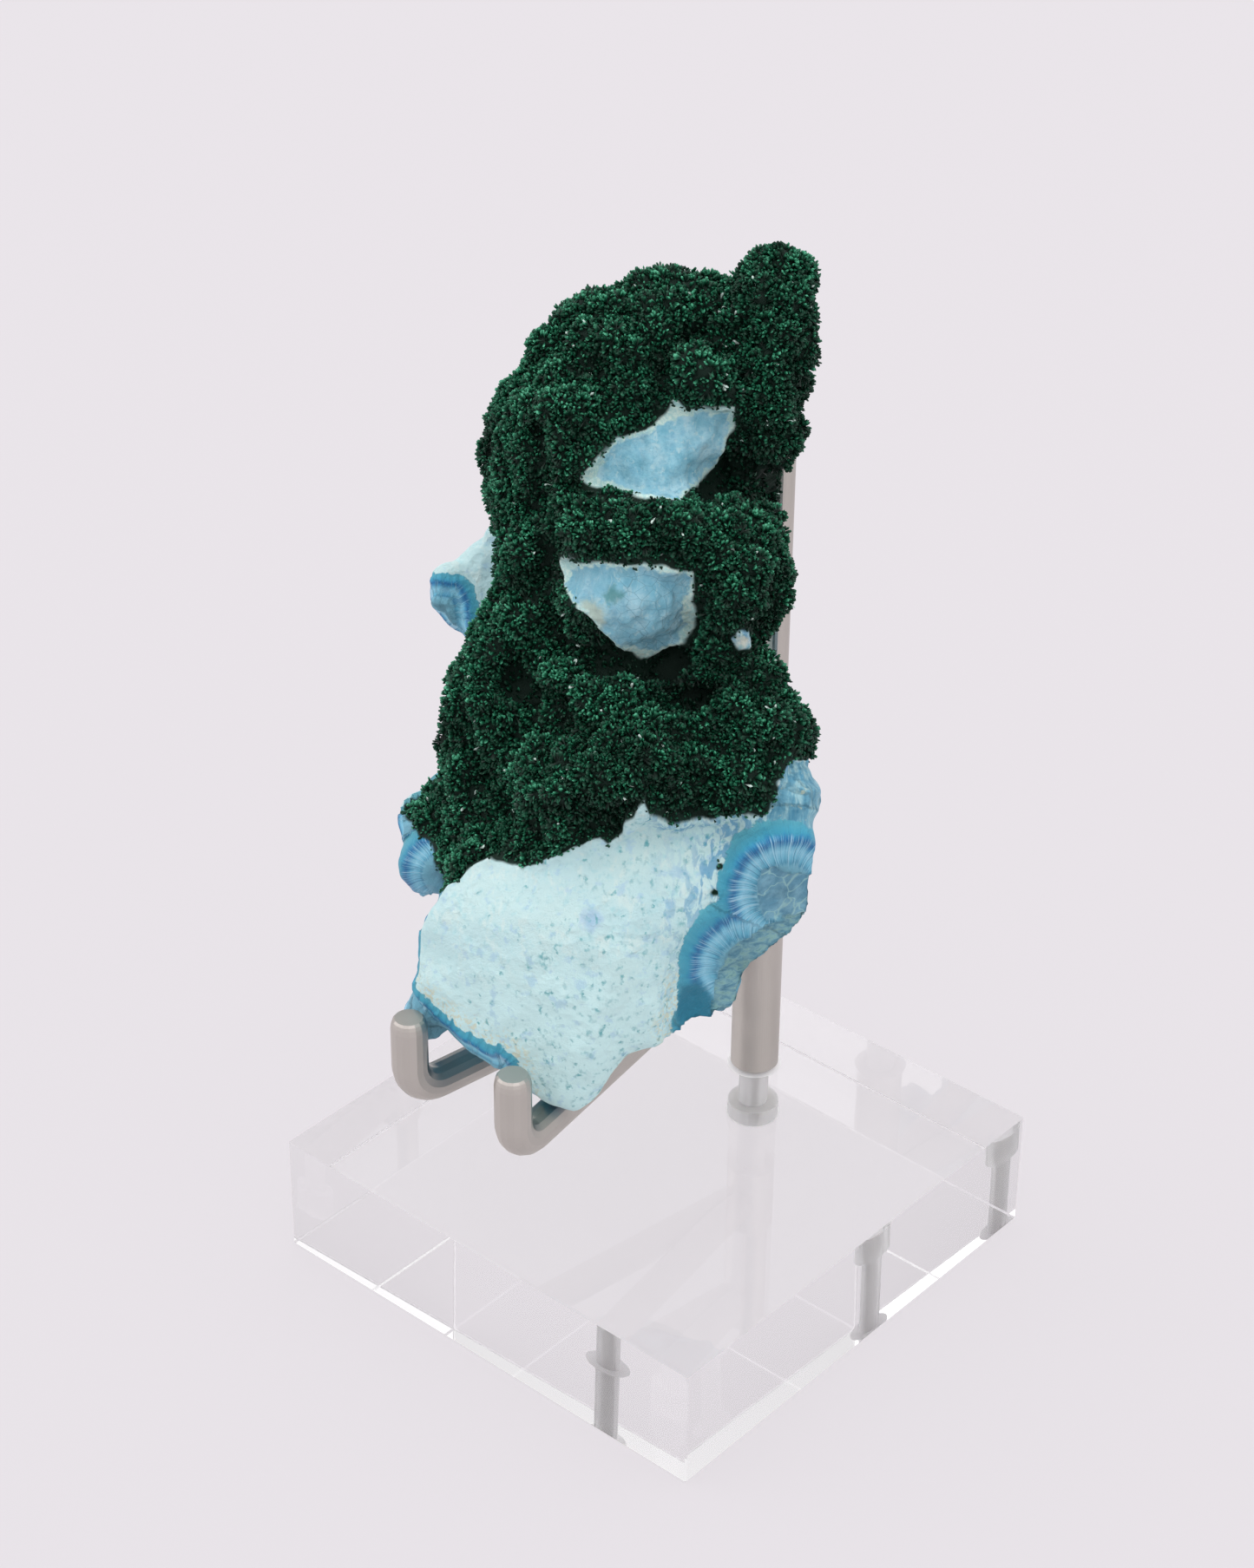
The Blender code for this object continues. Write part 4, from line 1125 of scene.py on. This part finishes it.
def acrylic_material():
    """Clear acrylic with soft bevels and a frosted drilled hole."""
    material, g = new_material("clear_acrylic")
    low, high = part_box("post_sleeve")
    axis = ((low.x + high.x) / 2, (low.y + high.y) / 2, 0.0)
    flat = g.stretched(g.object_place(), (1.0, 1.0, 0.0))
    distance = g.vector_math('DISTANCE', flat, axis, output="Value")
    in_hole = g.step(distance, *HOLE_REACH, 1.0, 0.0)
    geometry = g.node("ShaderNodeNewGeometry", {}).outputs
    facing = geometry["True Normal"]
    steepest = 0.0
    for side in g.axes(facing):
        steepest = g.math('MAXIMUM', g.math('ABSOLUTE', side), steepest)
    bevel = g.step(steepest, *BEVEL_FACING, BEVEL_ROUGHNESS, 0.0)
    on_bevel = g.math('MULTIPLY', bevel, geometry["Backfacing"])
    # From outside a bevel is shaded as part of one face beside it, so its line doesn't show
    squared = g.vector_math('NORMALIZE', g.vector_math('MULTIPLY', facing, FACE_WEIGHTS))
    normal = g.mix(g.math('MAXIMUM', in_hole, geometry["Backfacing"]), squared, facing)
    g.shade(Roughness=g.math('MAXIMUM', g.math('MULTIPLY', in_hole, HOLE_ROUGHNESS), on_bevel), Normal=normal)
    g.shade(Transmission_Weight=g.step(in_hole, 0.0, 1.0, 1.0, HOLE_TRANSMISSION))
    g.shade(Base_Color=(1.0, 1.0, 1.0, 1.0), IOR=ACRYLIC_IOR)
    return material


def dress_stand():
    """Give the stand's pieces their materials."""
    steel = steel_material()
    for name in ("base_screw", "post_sleeve", "back_rod", "left_hook_arm", "right_hook_arm"):
        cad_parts[name].data.materials.clear()
        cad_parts[name].data.materials.append(steel)
    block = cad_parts["acrylic_block"]
    block.data.materials.clear()
    block.data.materials.append(acrylic_material())


def make_floor():
    """A wide pale floor, lit from within a little as a light table is."""
    material, g = new_material("pale_floor")
    g.shade(Base_Color=FLOOR_COLOR, Roughness=0.9, Specular_IOR_Level=0.1)
    g.shade(Emission_Color=FLOOR_GLOW, Emission_Strength=FLOOR_GLOW_STRENGTH)
    mesh = bpy.data.meshes.new("floor")
    ways = [(-1, -1), (1, -1), (1, 1), (-1, 1)]
    corners = [(across * FLOOR_HALF, along * FLOOR_HALF, -FLOOR_GAP) for across, along in ways]
    mesh.from_pydata(corners, [], [(0, 1, 2, 3)])
    floor = add_object("floor", mesh, material)


def make_light():
    """Soft light from all round, dimmer low down, with three wide lamps."""
    world = bpy.data.worlds.new("studio")
    world.use_nodes = True
    g = Graph(world.node_tree)
    way = g.node("ShaderNodeTexCoord", {}).outputs["Generated"]
    height = g.axes(way)["Z"]
    light = g.step(height, TOP_LIGHT_FROM, 1.0, SIDE_LIGHT, TOP_LIGHT)
    above = g.step(height, *LAMP_HEIGHTS)
    for aim, edge, middle, power in LAMPS:
        near = g.vector_math('DOT_PRODUCT', way, aim, output="Value")
        lamp = g.math('MULTIPLY', g.step(near, edge, middle, 0.0, power), above)
        light = g.math('ADD', light, lamp)
    background = g.tree.nodes["Background"]
    g.feed(background.inputs["Color"], LIGHT_COLOR)
    g.feed(background.inputs["Strength"], light)
    bpy.context.scene.world = world


def make_camera():
    """The camera where the photograph was taken from."""
    data = bpy.data.cameras.new("camera")
    data.sensor_width = SENSOR
    data.lens = CAMERA_LENS_PX * SENSOR / PHOTO_LONG_SIDE_PX
    data.clip_start = CAMERA_CLIP_START
    camera = bpy.data.objects.new("camera", data)
    turn = Matrix.Rotation(CAMERA_TURN, 4, 'Z')
    tilt = Matrix.Rotation(pi / 2 - CAMERA_TILT, 4, 'X')
    roll = Matrix.Rotation(CAMERA_ROLL, 4, 'Z')
    camera.matrix_world = Matrix.Translation(CAMERA_PLACE) @ turn @ tilt @ roll
    bpy.context.scene.collection.objects.link(camera)
    bpy.context.scene.camera = camera


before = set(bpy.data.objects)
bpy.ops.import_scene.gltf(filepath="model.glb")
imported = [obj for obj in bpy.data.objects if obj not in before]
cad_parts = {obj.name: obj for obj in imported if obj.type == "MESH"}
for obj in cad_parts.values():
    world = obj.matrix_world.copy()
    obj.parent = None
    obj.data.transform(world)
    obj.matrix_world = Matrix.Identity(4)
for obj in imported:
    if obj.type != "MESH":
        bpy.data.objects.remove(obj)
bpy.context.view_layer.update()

bpy.context.scene.view_settings.view_transform = 'Standard'
make_camera()
make_light()
make_floor()
dress_stand()
stone_mesh, stone_regions = make_stone()
make_crystals(stone_mesh, stone_regions)
